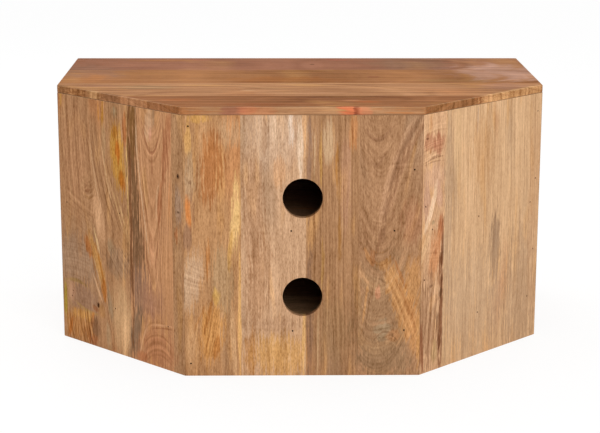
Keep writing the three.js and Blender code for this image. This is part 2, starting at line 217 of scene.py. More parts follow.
class Material(Nodes):
    """A material's nodes."""

    def __init__(self, name):
        self.material = bpy.data.materials.new(name)
        self.material.use_nodes = True
        super().__init__(self.material.node_tree)

    def grit(self, grain, detail):
        """Noise all over an object, with grains of the given size."""
        place = self.add("ShaderNodeTexCoord", output="Object")
        return self.noise(self.framed(place, (0, 0, 0), size=(grain, grain, grain)), detail)

    def edge_wear_and_highlight(self):
        """1 on the narrow faces of an eased edge, which are painted paler: wear, and on wood also a painted
        highlight.
        """
        return self.add("ShaderNodeAttribute", output="Fac", attribute_name="edge_wear_and_highlight")

    def finish(self, colour, roughness, height, relief, gloss=0.5, metallic=0.0):
        """Ends the material in a shader with the given colour, roughness, relief and gloss."""
        bump = self.add("ShaderNodeBump", {"Strength": 1.0, "Distance": relief, "Height": height})
        inputs = {"Base Color": colour, "Roughness": roughness, "Metallic": metallic, "Normal": bump}
        inputs["Specular IOR Level"] = gloss
        self.end("ShaderNodeOutputMaterial", self.add("ShaderNodeBsdfPrincipled", inputs))
        return self.material


def srgb(red, green, blue):
    """A colour as it is seen, from 0 to 255, as the linear colour that a shader takes."""
    shares = [channel / 255 for channel in (red, green, blue)]
    linear = [s / 12.92 if s < 0.04045 else ((s + 0.055) / 1.055) ** 2.4 for s in shares]
    return (*linear, 1)


# A board's own frame: a corner, a turn about Z, and the letters of the turned axes that run
# across the grain, along it and into the board
Board = namedtuple("Board", "corner turn axes")
UPRIGHT_GRAIN = "xzy"
LEVEL_GRAIN = "zxy"
FLAT_BOARD_GRAIN = "yxz"
# A glued stave: where it starts across the board, its colour, how strong its figure is, the
# log's pith, by its place across, its depth where the board starts and its slope, and the share
# of straight fine lines instead of short flecks
STAVE_PARTS = "start colour contrast pith depth slope ribbon_share"
Stave = namedtuple("Stave", STAVE_PARTS, defaults=(0.3,))
# A patch or line of another colour on a board: its middle and half sizes across and along in mm,
# its lean in degrees, its colour and strength, and how far its ends bow aside in mm
MARK_PARTS = "across along half_width half_length lean colour strength bow"
Mark = namedtuple("Mark", MARK_PARTS, defaults=(0,))
# Lines that flow side by side in the figure: their middle, half sizes, lean, bow and spacing
Bundle = namedtuple("Bundle", "across along half_width half_length lean bow spacing strength")
# A knot or swirl that pushes the grain aside, with its middle and half sizes in mm
Bend = namedtuple("Bend", "across along half_width half_length lean push")

# A mark or a bundle of lines is placed by numbers that turn a point's distances sideways and
# along the board into its distances beside the mark's middle line and ahead on it, in half sizes
PLACE_NUMBERS = (
    "Sideways",
    "Along",
    "Beside per sideways",
    "Beside per along",
    "Beside start",
    "Ahead per sideways",
    "Ahead per along",
    "Ahead start",
    "Bow",
    "Strength",
)
FIGURE_PLACE = dict.fromkeys(PLACE_NUMBERS, "Float")
MARK_INPUTS = {"Tint": "Color", "Colour": "Color", "Ragged": "Float", **FIGURE_PLACE}
BUNDLE_INPUTS = {"Tone": "Float", "Line count": "Float", "Seed": "Float", **FIGURE_PLACE}
MARK_RIM_SHARE = 1.4
MARK_CORE_SHARE = 0.25
BUNDLE_CORE_SHARE = 0.55
BUNDLE_DRIFT = 0.6
BUNDLE_DETAIL = 1.5
BUNDLE_SEED_STEP = 3.7
NOISE_MIDDLE = 0.5


def beside_and_ahead(group):
    """Where a point lies from a bowed middle line, in half widths and half lengths."""
    given = group.given
    found = []
    for name in ("Beside ", "Ahead "):
        sideways, along, start = (given[name + part] for part in ("per sideways", "per along", "start"))
        reach = group.math("MULTIPLY_ADD", given["Sideways"], sideways, start)
        found.append(group.math("MULTIPLY_ADD", given["Along"], along, reach))
    beside, ahead = found
    return beside - ahead * ahead * given["Bow"], ahead


def mark_group():
    """Lays a mark's colour over a tint, in an oval with a ragged rim."""
    group = Group("mark", "ShaderNodeTree", MARK_INPUTS, "Color")
    given = group.given
    beside, ahead = beside_and_ahead(group)
    reach = group.math("MULTIPLY_ADD", beside, beside, ahead * ahead)
    shown_share = group.ease(reach + given["Ragged"], MARK_RIM_SHARE, MARK_CORE_SHARE)
    group.end("NodeGroupOutput", group.mix(shown_share * given["Strength"], given["Tint"], given["Colour"]))
    return group.tree


def bundle_group():
    """Adds a bundle's lines to the tone, fading towards its rim."""
    group = Group("bundle", "ShaderNodeTree", BUNDLE_INPUTS, "Float")
    given = group.given
    beside, ahead = beside_and_ahead(group)
    where = beside * given["Line count"] + ahead * BUNDLE_DRIFT + given["Seed"]
    wave = {"W": where, "Scale": 1.0, "Detail": BUNDLE_DETAIL}
    lines = group.add("ShaderNodeTexNoise", wave, noise_dimensions="1D")
    edge = group.ease(group.math("ABSOLUTE", beside), 1, BUNDLE_CORE_SHARE)
    edge = edge * group.ease(group.math("ABSOLUTE", ahead), 1, BUNDLE_CORE_SHARE)
    group.end("NodeGroupOutput", given["Tone"] + (lines - NOISE_MIDDLE) * edge * given["Strength"])
    return group.tree


MARK_GROUP = mark_group()
BUNDLE_GROUP = bundle_group()


def place_inputs(row):
    """The numbers that place a mark or a bundle, by the names of the group's inputs."""
    turn = math.radians(row.lean)
    inputs = {"Bow": row.bow / row.half_width, "Strength": row.strength}
    for name, size, sideways, along in (
        ("Beside ", row.half_width * MM, math.cos(turn), math.sin(turn)),
        ("Ahead ", row.half_length * MM, -math.sin(turn), math.cos(turn)),
    ):
        inputs[name + "per sideways"] = sideways / size
        inputs[name + "per along"] = along / size
        inputs[name + "start"] = -(row.across * sideways + row.along * along) * MM / size
    return inputs


# Layers of the wood, each a noise with so many waves to the metre across and along the grain,
# so many octaves of detail, and an offset that sets it apart
Layer = namedtuple("Layer", "across along detail offset", defaults=(1, 0.0))
WANDER_LAYER = Layer(5, 2.4)
RIPPLE_LAYER = Layer(30, 8)
# Layers that follow the growth rings
RING_LAYERS = {
    "broad": Layer(22, 2.6),
    "rings": Layer(95, 3.5, 2),
    "growth": Layer(30, 2.2, 1, 9.2),
    "streaks": Layer(330, 13, 2),
    "fine": Layer(900, 60),
    "patches": Layer(15, 2.9, 2, 7.3),
    "stripes": Layer(45, 6, 2, 3.1),
}
# Layers that follow the grain through the board
GRAIN_LAYERS = {
    "mottle": Layer(230, 50, 2),
    "flecks": Layer(560, 150),
    "ribbons": Layer(250, 3, 2),
    "hairs": Layer(800, 12),
    "pores": Layer(1500, 300),
}
END_PORES = Layer(1400, 9)
PORE_RANGE = (0.6, 0.72)
DASH_RANGE = (0.56, 0.74)
LINE_HALF = 0.035
DARK_LINE_AT = 0.46
PALE_LINE_AT = 0.54

# How strongly each layer shows in the tone, in the marks' rims, in the lacquer and in relief
FIGURE_SHARES = {"broad": 0.6, "rings": 0.5}
LINE_SHARES = {"pale_line": 0.09, "dark_line": -0.12}
PEPPER_SHARES = {"streaks": 0.7, "fine": 0.7, "mottle": 0.9, "flecks": 1.2}
STRAIGHT_SHARES = {"ribbons": 0.9, "hairs": 0.8}
LEAST_STRAIGHT_SHARE = 0.3
PORE_SHARES = {"dashes": -0.14, "pores": -0.1}
MIDDLE_TONE = 0.53
RAGGED_SHARES = {"streaks": 3.4, "mottle": 2.0, "ribbons": 1.6, "patches": 1.2}
ROUGHNESS_SHARES = {"streaks": 0.16, "dashes": 0.1}
END_ROUGHNESS = 0.15
SATIN = 0.58
RELIEF_SHARES = {"fine": 0.5, "streaks": 0.3, "dashes": -0.5, "pores": -0.4}
RELIEF = 0.12 * MM
WOOD_GLOSS = 0.015

STAVE_SHIFT = 3.7
WANDER = 22 * MM
RIPPLE = 4 * MM
MARK_RIPPLE = 2 * RIPPLE
MARK_STREAKS = 0.5 * RIPPLE
BEND_CORE_SHARE = 0.1
SEAM_HALF = 0.45 * MM
SEAM_SHARE = 0.15
END_TURN_RANGE = (0.35, 0.9)
END_PORE_RANGE = (0.4, 0.62)
END_SHARE = 0.8
# Eased edges are painted paler by this share and the edge colour below: partly real wear, partly a painted
# highlight where the rounded edges catch the light
EDGE_WEAR_AND_HIGHLIGHT_SHARE = 0.3

DARK_GRAIN = (0.50, 0.41, 0.31, 1)
LIGHT_GRAIN = (1.36, 1.42, 1.46, 1)
SEAM_COLOUR = srgb(96, 66, 44)
END_PORE_COLOUR = srgb(190, 174, 158)
END_COLOUR = srgb(248, 240, 230)
EDGE_WEAR_AND_HIGHLIGHT_COLOUR = srgb(226, 186, 146)
# Casts of ember, ash and honey in the log: the layer that each follows, where it starts and is
# full, its strength and its colour
Cast = namedtuple("Cast", "layer start full strength colour")
CASTS = [
    Cast("patches", 0.58, 0.74, 0.35, srgb(186, 112, 60)),
    Cast("patches", 0.4, 0.26, 0.3, srgb(142, 116, 94)),
    Cast("stripes", 0.54, 0.7, 0.35, srgb(216, 160, 98)),
]


class Mango(Material):
    """Mango wood on a board that is glued up from staves."""

    def __init__(self, name, board, staves, bends, shift):
        super().__init__(name)
        self.board = board
        self.staves = staves
        place = self.add("ShaderNodeTexCoord", output="Object")
        sides = self.split(self.framed(place, (*board.corner, 0), board.turn))
        self.across, self.along, self.depth = (sides["xyz".index(letter)] for letter in board.axes)
        self.steps = [self.math("GREATER_THAN", self.across, stave.start) for stave in staves[1:]]
        shifts = [shift + STAVE_SHIFT * index for index in range(len(staves))]
        self.drawn = self.along + self.by_stave(shifts)
        wander = self.grain_layer(WANDER_LAYER, self.across) - NOISE_MIDDLE
        ripple = self.grain_layer(RIPPLE_LAYER, self.across) - NOISE_MIDDLE
        self.grain = self.bent(self.across + wander * WANDER + ripple * RIPPLE, bends)
        self.ring = self.ring_distance()
        self.layers = {name: self.ring_layer(layer) for name, layer in RING_LAYERS.items()}
        for layer_name, layer in GRAIN_LAYERS.items():
            self.layers[layer_name] = self.grain_layer(layer, self.grain)
        self.ribbon_share = self.by_stave([stave.ribbon_share for stave in staves])
        self.layers["pores"] = self.ease(self.layers["pores"], *PORE_RANGE)
        self.layers["dashes"] = self.ease(self.layers["flecks"], *DASH_RANGE) * (1 - self.ribbon_share)
        self.layers["dark_line"] = self.growth_line(DARK_LINE_AT)
        self.layers["pale_line"] = self.growth_line(PALE_LINE_AT)
        streaks = self.layers["streaks"] - NOISE_MIDDLE
        self.sideways = self.across + ripple * MARK_RIPPLE + streaks * MARK_STREAKS

    def by_stave(self, values):
        """The value of the stave that a point lies on. Each step is 1 past a stave's start."""
        total = values[0]
        for step, before, after in zip(self.steps, values, values[1:]):
            if before != after:
                total = self.math("MULTIPLY_ADD", step, after - before, total)
        return total

    def grain_layer(self, layer, across):
        where = self.vector(across * layer.across, self.drawn * layer.along, self.depth * layer.across)
        return self.noise(where, layer.detail)

    def ring_layer(self, layer):
        where = self.vector(self.ring * layer.across, self.drawn * layer.along, layer.offset)
        return self.noise(where, layer.detail)

    def growth_line(self, place):
        return self.ease(self.math("ABSOLUTE", self.layers["growth"] - place), LINE_HALF, 0)

    def bent(self, grain, bends):
        """The grain's place across, pushed aside round each knot or swirl."""
        face = self.vector(self.across, self.along)
        for bend in bends:
            half_width_there = bend.half_width * MM
            size = (half_width_there, bend.half_length * MM, 1)
            centre = (bend.across * MM, bend.along * MM, 0)
            near = self.framed(face, centre, math.radians(bend.lean), size)
            pushed = self.ease(self.length(near), 1, BEND_CORE_SHARE) * (bend.push * half_width_there)
            grain = grain - self.split(near)[0] * pushed
        return grain

    def ring_distance(self):
        """How far a point lies from the pith of its stave's log."""
        pith_side = self.grain - self.by_stave([stave.pith for stave in self.staves])
        pith_depth = self.along * self.by_stave([stave.slope for stave in self.staves]) + self.depth
        pith_depth = pith_depth + self.by_stave([stave.depth for stave in self.staves])
        return self.math("SQRT", pith_side * pith_side + pith_depth * pith_depth)

    def total(self, shares):
        """The sum of the named layers, each times its share."""
        terms = [self.layers[name] * share for name, share in shares.items()]
        return sum(terms[1:], terms[0])

    def swing(self, shares):
        """The same sum, of how far each layer is from its middle value."""
        return self.total(shares) - NOISE_MIDDLE * sum(shares.values())

    def tone(self, bundles):
        """How light the grain is: the broad figure, then flecks or straight lines, and pores."""
        contrast = self.by_stave([stave.contrast for stave in self.staves])
        figure = self.swing(FIGURE_SHARES) + self.total(LINE_SHARES)
        pepper = self.swing(PEPPER_SHARES) * (1 - self.ribbon_share)
        straight_share = self.ribbon_share * (1 - LEAST_STRAIGHT_SHARE) + LEAST_STRAIGHT_SHARE
        straight = self.swing(STRAIGHT_SHARES) * straight_share
        tone = figure * contrast + pepper + straight + self.total(PORE_SHARES) + MIDDLE_TONE
        for index, bundle in enumerate(bundles):
            inputs = {"Tone": tone, "Sideways": self.sideways, "Along": self.along}
            inputs["Seed"] = index * BUNDLE_SEED_STEP
            inputs["Line count"] = bundle.half_width / bundle.spacing
            inputs.update(place_inputs(bundle))
            tone = self.add("ShaderNodeGroup", inputs, node_tree=BUNDLE_GROUP)
        return tone

    def tint(self, marks):
        """The staves' colours, under the log's casts and the marks."""
        tint = self.staves[0].colour
        for step, stave in zip(self.steps, self.staves[1:]):
            tint = self.mix(step, tint, stave.colour)
        for cast in CASTS:
            shown_share = self.ease(self.layers[cast.layer], cast.start, cast.full) * cast.strength
            tint = self.mix(shown_share, tint, cast.colour)
        ragged = self.swing(RAGGED_SHARES)
        for mark in marks:
            inputs = {"Tint": tint, "Colour": mark.colour, "Ragged": ragged}
            inputs.update({"Sideways": self.sideways, "Along": self.along})
            inputs.update(place_inputs(mark))
            tint = self.add("ShaderNodeGroup", inputs, node_tree=MARK_GROUP)
        return tint

    def multiplied(self, first, second):
        return self.mix(1.0, first, second, blend_type="MULTIPLY")

    def with_seams(self, colour):
        """The colour with a thin darker glue line at each stave's start."""
        for stave in self.staves[1:]:
            seam = self.math("ABSOLUTE", self.across - stave.start)
            colour = self.mix(self.ease(seam, SEAM_HALF, 0) * SEAM_SHARE, colour, SEAM_COLOUR)
        return colour

    def end_grain(self):
        """1 on the faces that cut across the grain."""
        normal = self.add("ShaderNodeTexCoord", output="Normal")
        sides = self.split(self.framed(normal, (0, 0, 0), self.board.turn))
        facing = sides["xyz".index(self.board.axes[1])]
        return self.ease(self.math("ABSOLUTE", facing), *END_TURN_RANGE)

    def with_end_pores(self, colour, end):
        """The colour with open pores in the end grain."""
        across, depth = (side * END_PORES.across for side in (self.across, self.depth))
        pores = self.noise(self.vector(across, depth, self.drawn * END_PORES.along), END_PORES.detail)
        tone = self.mix(self.ease(pores, *END_PORE_RANGE), END_PORE_COLOUR, END_COLOUR)
        return self.mix(end * END_SHARE, colour, self.multiplied(colour, tone))


def mango(name, board, staves, marks=(), bundles=(), bends=(), shift=0.0):
    """Strongly figured mango wood under a satin lacquer."""
    wood = Mango(name, board, staves, bends, shift)
    tone = wood.tone(bundles)
    tint = wood.tint(marks)
    colour = wood.multiplied(tint, wood.mix(tone, DARK_GRAIN, LIGHT_GRAIN))
    end = wood.end_grain()
    colour = wood.with_end_pores(wood.with_seams(colour), end)
    # Paler eased edges: partly wear, partly a painted highlight of light on the rounded edges
    colour = wood.mix(wood.edge_wear_and_highlight() * EDGE_WEAR_AND_HIGHLIGHT_SHARE, colour, EDGE_WEAR_AND_HIGHLIGHT_COLOUR)
    roughness = wood.total(ROUGHNESS_SHARES) + end * END_ROUGHNESS + SATIN
    return wood.finish(colour, roughness, wood.total(RELIEF_SHARES), RELIEF, WOOD_GLOSS)


# The staves and marks that the photograph shows. Distances across are in mm from the wall's
# first corner, heights from the floor.
def seen_stave(start, colour, contrast, pith, pith_height, slope, depth=0.0, ribbon_share=0.3):
    """A stave whose pith crosses the board's face at the given height, or runs beside it."""
    crossing = depth * MM - slope * pith_height * MM
    return Stave(start * MM, srgb(*colour), contrast, pith * MM, crossing, slope, ribbon_share)


def seen_marks(rows):
    """Marks from rows of across, along, half width, half length, lean, colour, strength, bow."""
    return [Mark(*row[:5], srgb(*row[5]), *row[6:]) for row in rows]


def seen_bundles(rows):
    return [Bundle(*row) for row in rows]


BACK_STAVES = [
    seen_stave(0, (178, 132, 91), 1.1, 190, 300, 0.05, 30, 0.2),
    seen_stave(114, (194, 154, 120), 0.9, 60, 300, 0.05, 40, 0.2),
    seen_stave(243.5, (164, 122, 87), 1.1, 120, 300, 0.02, 60, 0.4),
    seen_stave(348.5, (168, 126, 92), 0.85, 388, 640, 0.2, 0, 0.2),
]
BACK_MARKS = seen_marks([
    (33, 527, 22, 9, 0, (204, 154, 82), 0.6),
    (94, 498, 26, 34, 0, (186, 150, 114), 0.6),
    (57, 430, 23, 76, -4, (166, 104, 58), 0.8),
    (50, 470, 12, 30, 0, (180, 118, 68), 0.4),
    (11, 483, 6, 30, 0, (218, 168, 104), 0.7),
    (14, 405, 9, 52, 0, (176, 146, 116), 0.6),
    (14, 400, 3, 4, 0, (120, 84, 58), 0.6),
    (11, 338, 5.5, 32, 3, (204, 126, 66), 0.85),
    (19, 345, 3, 40, 3, (150, 106, 76), 0.5),
    (8, 288, 9, 28, 0, (146, 108, 84), 0.7),
    (14, 195, 20, 70, -10, (200, 164, 132), 0.85),
    (34, 300, 10, 50, 0, (196, 148, 104), 0.4),
    (48, 246, 3.5, 38, -3, (176, 112, 56), 0.7),
    (78, 200, 20, 80, 2, (176, 144, 108), 0.65),
    (103, 328, 11, 86, -2, (231, 189, 127), 0.88),
    (92, 262, 5, 45, -6, (214, 164, 92), 0.6, 3),
    (111.5, 140, 3.2, 160, 0, (226, 176, 114), 0.8),
    (99, 65, 6, 75, 3, (214, 170, 126), 0.7),
    (105, 50, 1.5, 50, 0, (150, 106, 70), 0.6),
    (65, 165, 7, 18, -4, (210, 164, 84), 0.6),
    (54, 88, 24, 60, -8, (208, 148, 84), 0.7),
    (48, 125, 4, 36, -14, (160, 98, 44), 0.6),
    (30, 120, 3, 34, -22, (172, 112, 56), 0.5),
    (64, 62, 6, 26, -8, (168, 100, 42), 0.5),
    (12, 62, 14, 46, 0, (204, 158, 114), 0.6),
    (190, 486, 62, 62, 0, (206, 174, 148), 0.5),
    (162, 500, 4, 44, 0, (174, 134, 102), 0.6),
    (179, 510, 7, 36, 0, (218, 184, 154), 0.7),
    (213, 508, 7, 42, 0, (226, 202, 182), 0.8),
    (231, 470, 6, 75, 0, (226, 196, 168), 0.8),
    (190, 420, 12, 32, 0, (218, 164, 118), 0.5),
    (140, 330, 18, 130, 0, (178, 134, 100), 0.6),
    (150, 200, 24, 90, -6, (176, 130, 94), 0.5),
    (186, 104, 34, 22, 0, (180, 140, 108), 0.6),
    (188, 40, 62, 48, 0, (213, 161, 97), 0.75),
    (134, 45, 14, 48, 0, (186, 128, 72), 0.5),
    (240, 70, 4, 80, 0, (222, 174, 112), 0.7),
    (250, 430, 5, 110, 0, (142, 108, 86), 0.8),
    (251, 120, 7, 130, 0, (136, 102, 80), 0.75),
    (260, 450, 1.8, 55, 0, (210, 174, 136), 0.7),
    (268, 62, 2.4, 70, 0, (188, 152, 114), 0.6),
    (272, 455, 3, 65, 0, (190, 142, 78), 0.7),
    (286, 480, 13, 48, 0, (202, 168, 132), 0.7),
    (304, 424, 3.5, 46, 0, (160, 108, 54), 0.8),
    (310, 278, 4, 62, 0, (160, 112, 62), 0.8),
    (276, 230, 3, 60, 0, (176, 132, 74), 0.6),
    (322, 400, 10, 100, 0, (182, 136, 108), 0.5),
    (336, 500, 9, 34, 0, (190, 128, 80), 0.7),
    (345, 180, 7, 56, 4, (200, 150, 98), 0.6),
    (300, 90, 36, 70, 0, (160, 124, 88), 0.5),
    (404, 110, 66, 150, 0, (154, 120, 88), 0.6),
    (452, 318, 20, 46, 0, (172, 120, 88), 0.5),
    (436, 325, 3, 16, 0, (140, 100, 66), 0.6),
    (384, 484, 4, 34, 90, (146, 104, 76), 0.55, 46),
    (381, 434, 4, 26, 90, (150, 108, 80), 0.45, 50),
    (379, 250, 6, 22, 90, (150, 106, 76), 0.45, 100),
    (414, 408, 6, 150, -15, (132, 92, 66), 0.6, 24),
    (403, 396, 5, 140, -13, (192, 148, 114), 0.5, 22),
    (427, 420, 7, 130, -17, (186, 140, 106), 0.4, 22),
    (440, 450, 4, 100, -22, (140, 98, 70), 0.45, 14),
    (388, 268, 4, 46, -14, (136, 94, 64), 0.6, -4),
    (362, 290, 4, 50, 14, (142, 100, 68), 0.45, 5),
    (366, 250, 4, 16, 20, (214, 156, 104), 0.6),
    (377, 246, 6, 16, 0, (184, 124, 78), 0.5),
    (398, 197, 2.5, 12, 60, (122, 88, 60), 0.6),
    (387, 173, 4.5, 15, 0, (202, 142, 108), 0.7),
    (438, 150, 20, 104, 20, (208, 150, 92), 0.6, -6),
    (458, 196, 18, 52, 0, (208, 150, 92), 0.55),
    (462, 92, 20, 66, 12, (200, 144, 94), 0.55),
    (432, 213, 3, 34, 22, (168, 106, 56), 0.55),
    (450, 140, 4, 70, 20, (172, 112, 64), 0.4, -4),
    (371, 150, 1.8, 50, -12, (134, 94, 62), 0.6),
    (362, 150, 3, 46, -8, (206, 152, 100), 0.6),
    (398, 96, 17, 22, 0, (166, 142, 112), 0.6),
    (420, 84, 12, 12, -30, (192, 134, 88), 0.5),
    (404, 92, 3, 26, 90, (132, 94, 64), 0.45, -24),
    (400, 35, 60, 34, 0, (150, 118, 88), 0.5),
    (470, 70, 5, 60, 0, (206, 152, 96), 0.6),
])
BACK_BUNDLES = seen_bundles([
    (386, 486, 60, 44, 90, 60, 9, 0.5),
    (428, 420, 30, 150, -15, 24, 7, 0.8),
    (378, 330, 80, 26, 90, 120, 14, 0.4),
    (440, 420, 26, 34, 90, 0, 6, 0.4),
    (432, 152, 26, 110, 22, -6, 6, 0.6),
    (405, 90, 26, 32, 90, -26, 6, 0.6),
    (370, 160, 16, 80, -10, 0, 4, 0.6),
    (14, 195, 60, 34, 62, 6, 7, 0.6),
    (14, 400, 16, 60, 0, 0, 4, 0.7),
    (48, 90, 34, 66, -12, 0, 4, 0.8),
    (90, 250, 14, 60, -5, 3, 4, 0.6),
    (296, 290, 56, 330, 0, 3, 5, 0.9),
])
BACK_BENDS = [Bend(400, 96, 46, 60, 0, 0.8)]

RIGHT_SLANT_STAVES = [
    seen_stave(0, (176, 130, 92), 1.1, 60, 700, 0.04, 30, 0.3),
    seen_stave(226, (191, 139, 99), 0.6, 297, 640, 0.04, 30, 0.5),
    seen_stave(357.5, (176, 132, 94), 0.9, 500, 300, 0.05, 40, 0.1),
]
RIGHT_SLANT_MARKS = seen_marks([
    (52, 420, 46, 120, 0, (178, 128, 92), 0.5),
    (12, 525, 6, 18, 0, (200, 150, 78), 0.6),
    (102, 490, 1.5, 40, 0, (162, 104, 68), 0.5),
    (134, 512, 2, 30, 0, (194, 128, 54), 0.8),
    (147, 508, 4.5, 34, 0, (178, 122, 42), 0.8),
    (150, 450, 8, 44, 2, (184, 150, 110), 0.45),
    (192, 420, 22, 72, 8, (206, 150, 66), 0.85),
    (185, 515, 9, 14, 0, (162, 130, 94), 0.6),
    (185, 517, 4, 9, 0, (178, 154, 122), 0.6),
    (192, 436, 7, 24, 4, (196, 108, 36), 0.85),
    (186, 475, 9, 14, 0, (184, 120, 48), 0.7),
    (205, 376, 9, 20, 12, (184, 106, 34), 0.85),
    (217, 480, 6, 34, 0, (178, 104, 54), 0.7),
    (200, 470, 5, 26, 0, (222, 166, 90), 0.5),
    (222, 370, 2.6, 100, 0, (228, 182, 116), 0.85),
    (117, 374, 2.2, 66, 13, (212, 168, 128), 0.75, 3),
    (126, 368, 1.6, 76, 15, (136, 94, 62), 0.6, 3),
    (156, 376, 2.8, 76, 16, (216, 172, 128), 0.8, 3),
    (146, 352, 1.8, 80, 16, (138, 96, 62), 0.6, 3),
    (168, 330, 2, 76, 24, (140, 98, 64), 0.6),
    (186, 320, 3, 66, 22, (206, 162, 114), 0.7),
    (204, 300, 3, 60, 20, (214, 170, 120), 0.6),
    (130, 282, 16, 52, 12, (221, 171, 129), 0.75),
    (95, 338, 10, 4, 10, (142, 94, 62), 0.7),
    (98, 322, 2.4, 20, 90, (166, 120, 76), 0.6, 14),
    (55, 180, 68, 52, 0, (168, 133, 105), 0.8),
    (165, 226, 12, 22, 14, (162, 140, 110), 0.5),
    (186, 198, 34, 34, 30, (158, 124, 96), 0.75),
    (92, 218, 9, 26, 18, (176, 108, 54), 0.85),
    (124, 184, 11, 66, 22, (199, 143, 77), 0.75, -5),
    (119, 236, 3, 28, 20, (226, 186, 136), 0.7),
    (131, 176, 3, 44, 17, (168, 106, 44), 0.8),
    (112, 165, 1.8, 50, 14, (160, 106, 56), 0.7),
    (141, 130, 8, 22, 6, (182, 112, 52), 0.8),
    (119, 130, 3, 30, 26, (216, 170, 130), 0.7),
    (70, 98, 44, 30, 0, (164, 126, 100), 0.85),
    (30, 108, 12, 22, 0, (196, 148, 116), 0.7),
    (44, 134, 4, 36, 90, (158, 124, 66), 0.55, -6),
    (78, 74, 4, 36, 78, (186, 146, 80), 0.5, 5),
    (9, 80, 6, 42, 0, (174, 146, 56), 0.85),
    (3, 100, 3, 26, 0, (128, 90, 52), 0.5),
    (58, 34, 50, 34, 0, (188, 130, 76), 0.85),
    (98, 56, 5, 18, -8, (204, 122, 52), 0.7),
    (24, 24, 6, 26, -16, (178, 104, 44), 0.7),
    (66, 62, 32, 12, 0, (208, 152, 84), 0.65),
    (78, 26, 14, 14, 0, (148, 92, 50), 0.6),
    (108, 44, 14, 22, 10, (132, 94, 68), 0.8),
    (100, 12, 16, 12, 0, (160, 92, 52), 0.6),
    (119, 93, 5, 5.5, 0, (74, 42, 24), 1.0),
    (108, 84, 12, 5, -20, (156, 98, 60), 0.7),
    (130, 80, 10, 16, 0, (182, 130, 76), 0.5),
    (31, 97, 2.4, 1.6, 0, (96, 62, 40), 0.8),
    (35, 109, 2.4, 1.6, 0, (110, 74, 48), 0.8),
    (195, 75, 34, 84, 4, (206, 164, 120), 0.7),
    (205, 44, 15, 52, 0, (220, 174, 128), 0.8),
    (158, 105, 8, 40, 8, (152, 132, 104), 0.6),
    (150, 30, 9, 30, 8, (186, 154, 118), 0.6),
    (239, 470, 17, 90, 0, (123, 84, 46), 0.95),
    (240, 350, 17, 90, 3, (122, 87, 58), 0.95),
    (246, 240, 26, 90, 4, (120, 87, 61), 0.9),
    (256, 150, 30, 60, 0, (148, 112, 90), 0.8),
    (240, 60, 18, 62, -10, (128, 102, 80), 0.85),
    (231, 270, 5, 290, 0, (124, 80, 50), 0.8),
    (262, 380, 2.2, 165, 7, (222, 178, 140), 0.85, 7),
    (252, 420, 1.6, 120, 3, (112, 80, 54), 0.7, 4),
    (298, 446, 4.5, 36, 90, (152, 98, 66), 0.75, 88),
    (290, 505, 10, 36, -4, (212, 170, 134), 0.6),
    (303, 516, 4, 24, -4, (162, 132, 104), 0.5),
    (294, 484, 5, 16, 0, (210, 148, 118), 0.6),
    (299, 425, 2, 26, 0, (166, 110, 78), 0.6),
    (344, 468, 12, 80, -8, (164, 102, 68), 0.7),
    (276, 380, 8, 44, 6, (202, 152, 98), 0.4),
    (312, 356, 2.4, 42, -8, (222, 174, 134), 0.8, 4),
    (320, 350, 5, 52, -6, (174, 108, 70), 0.65, 4),
    (350, 356, 2.6, 40, 0, (210, 144, 96), 0.7),
    (297, 245, 9, 44, 0, (208, 150, 110), 0.7),
    (280, 218, 2.6, 44, 15, (142, 92, 62), 0.75),
    (309, 232, 2, 54, -9, (150, 98, 66), 0.7),
    (340, 205, 18, 84, 0, (200, 146, 102), 0.6),
    (292, 140, 36, 42, 0, (172, 124, 96), 0.7),
    (290, 130, 4, 34, 4, (190, 140, 112), 0.6),
    (306, 40, 54, 46, 0, (184, 126, 88), 0.85),
    (262, 52, 2.6, 46, -22, (214, 164, 124), 0.8, 4),
    (322, 92, 2.2, 38, 98, (214, 160, 118), 0.8, -3),
    (324, 86, 2, 38, 98, (150, 92, 60), 0.6, -3),
    (258, 12, 18, 12, 0, (178, 104, 64), 0.5),
    (376, 350, 12, 42, 0, (172, 144, 124), 0.6),
    (369, 290, 5, 16, 0, (184, 112, 66), 0.6),
    (375, 120, 8, 80, 0, (182, 132, 80), 0.5),
    (375, 410, 4, 5, 0, (86, 56, 38), 0.9),
    (375, 337, 3, 3, 0, (86, 56, 38), 0.8),
])
RIGHT_SLANT_BUNDLES = seen_bundles([
    (140, 368, 40, 130, 18, 10, 5, 1.0),
    (190, 205, 42, 50, 38, 0, 5, 0.9),
    (52, 176, 58, 56, 84, -6, 8, 0.6),
    (60, 285, 40, 60, 63, 5, 9, 0.6),
    (96, 335, 34, 30, 90, 24, 7, 0.5),
    (128, 178, 18, 70, 21, -5, 4, 0.9),
    (60, 36, 52, 46, 8, 6, 6, 1.8),
    (150, 70, 22, 70, 10, 0, 4, 0.7),
    (298, 470, 62, 44, 90, 84, 13, 0.9),
    (300, 250, 120, 40, 90, 240, 32, 0.9),
    (335, 330, 20, 190, -5, 4, 6, 0.8),
    (268, 350, 14, 180, 7, 6, 5, 0.8),
    (308, 60, 50, 54, 92, -34, 9, 0.9),
    (244, 250, 20, 280, 0, 0, 6, 0.4),
    (210, 470, 34, 70, 0, 0, 5, 0.8),
    (58, 420, 60, 150, 2, 8, 8, 1.1),
])
RIGHT_SLANT_BENDS = [Bend(96, 335, 60, 90, 10, 0.6)]

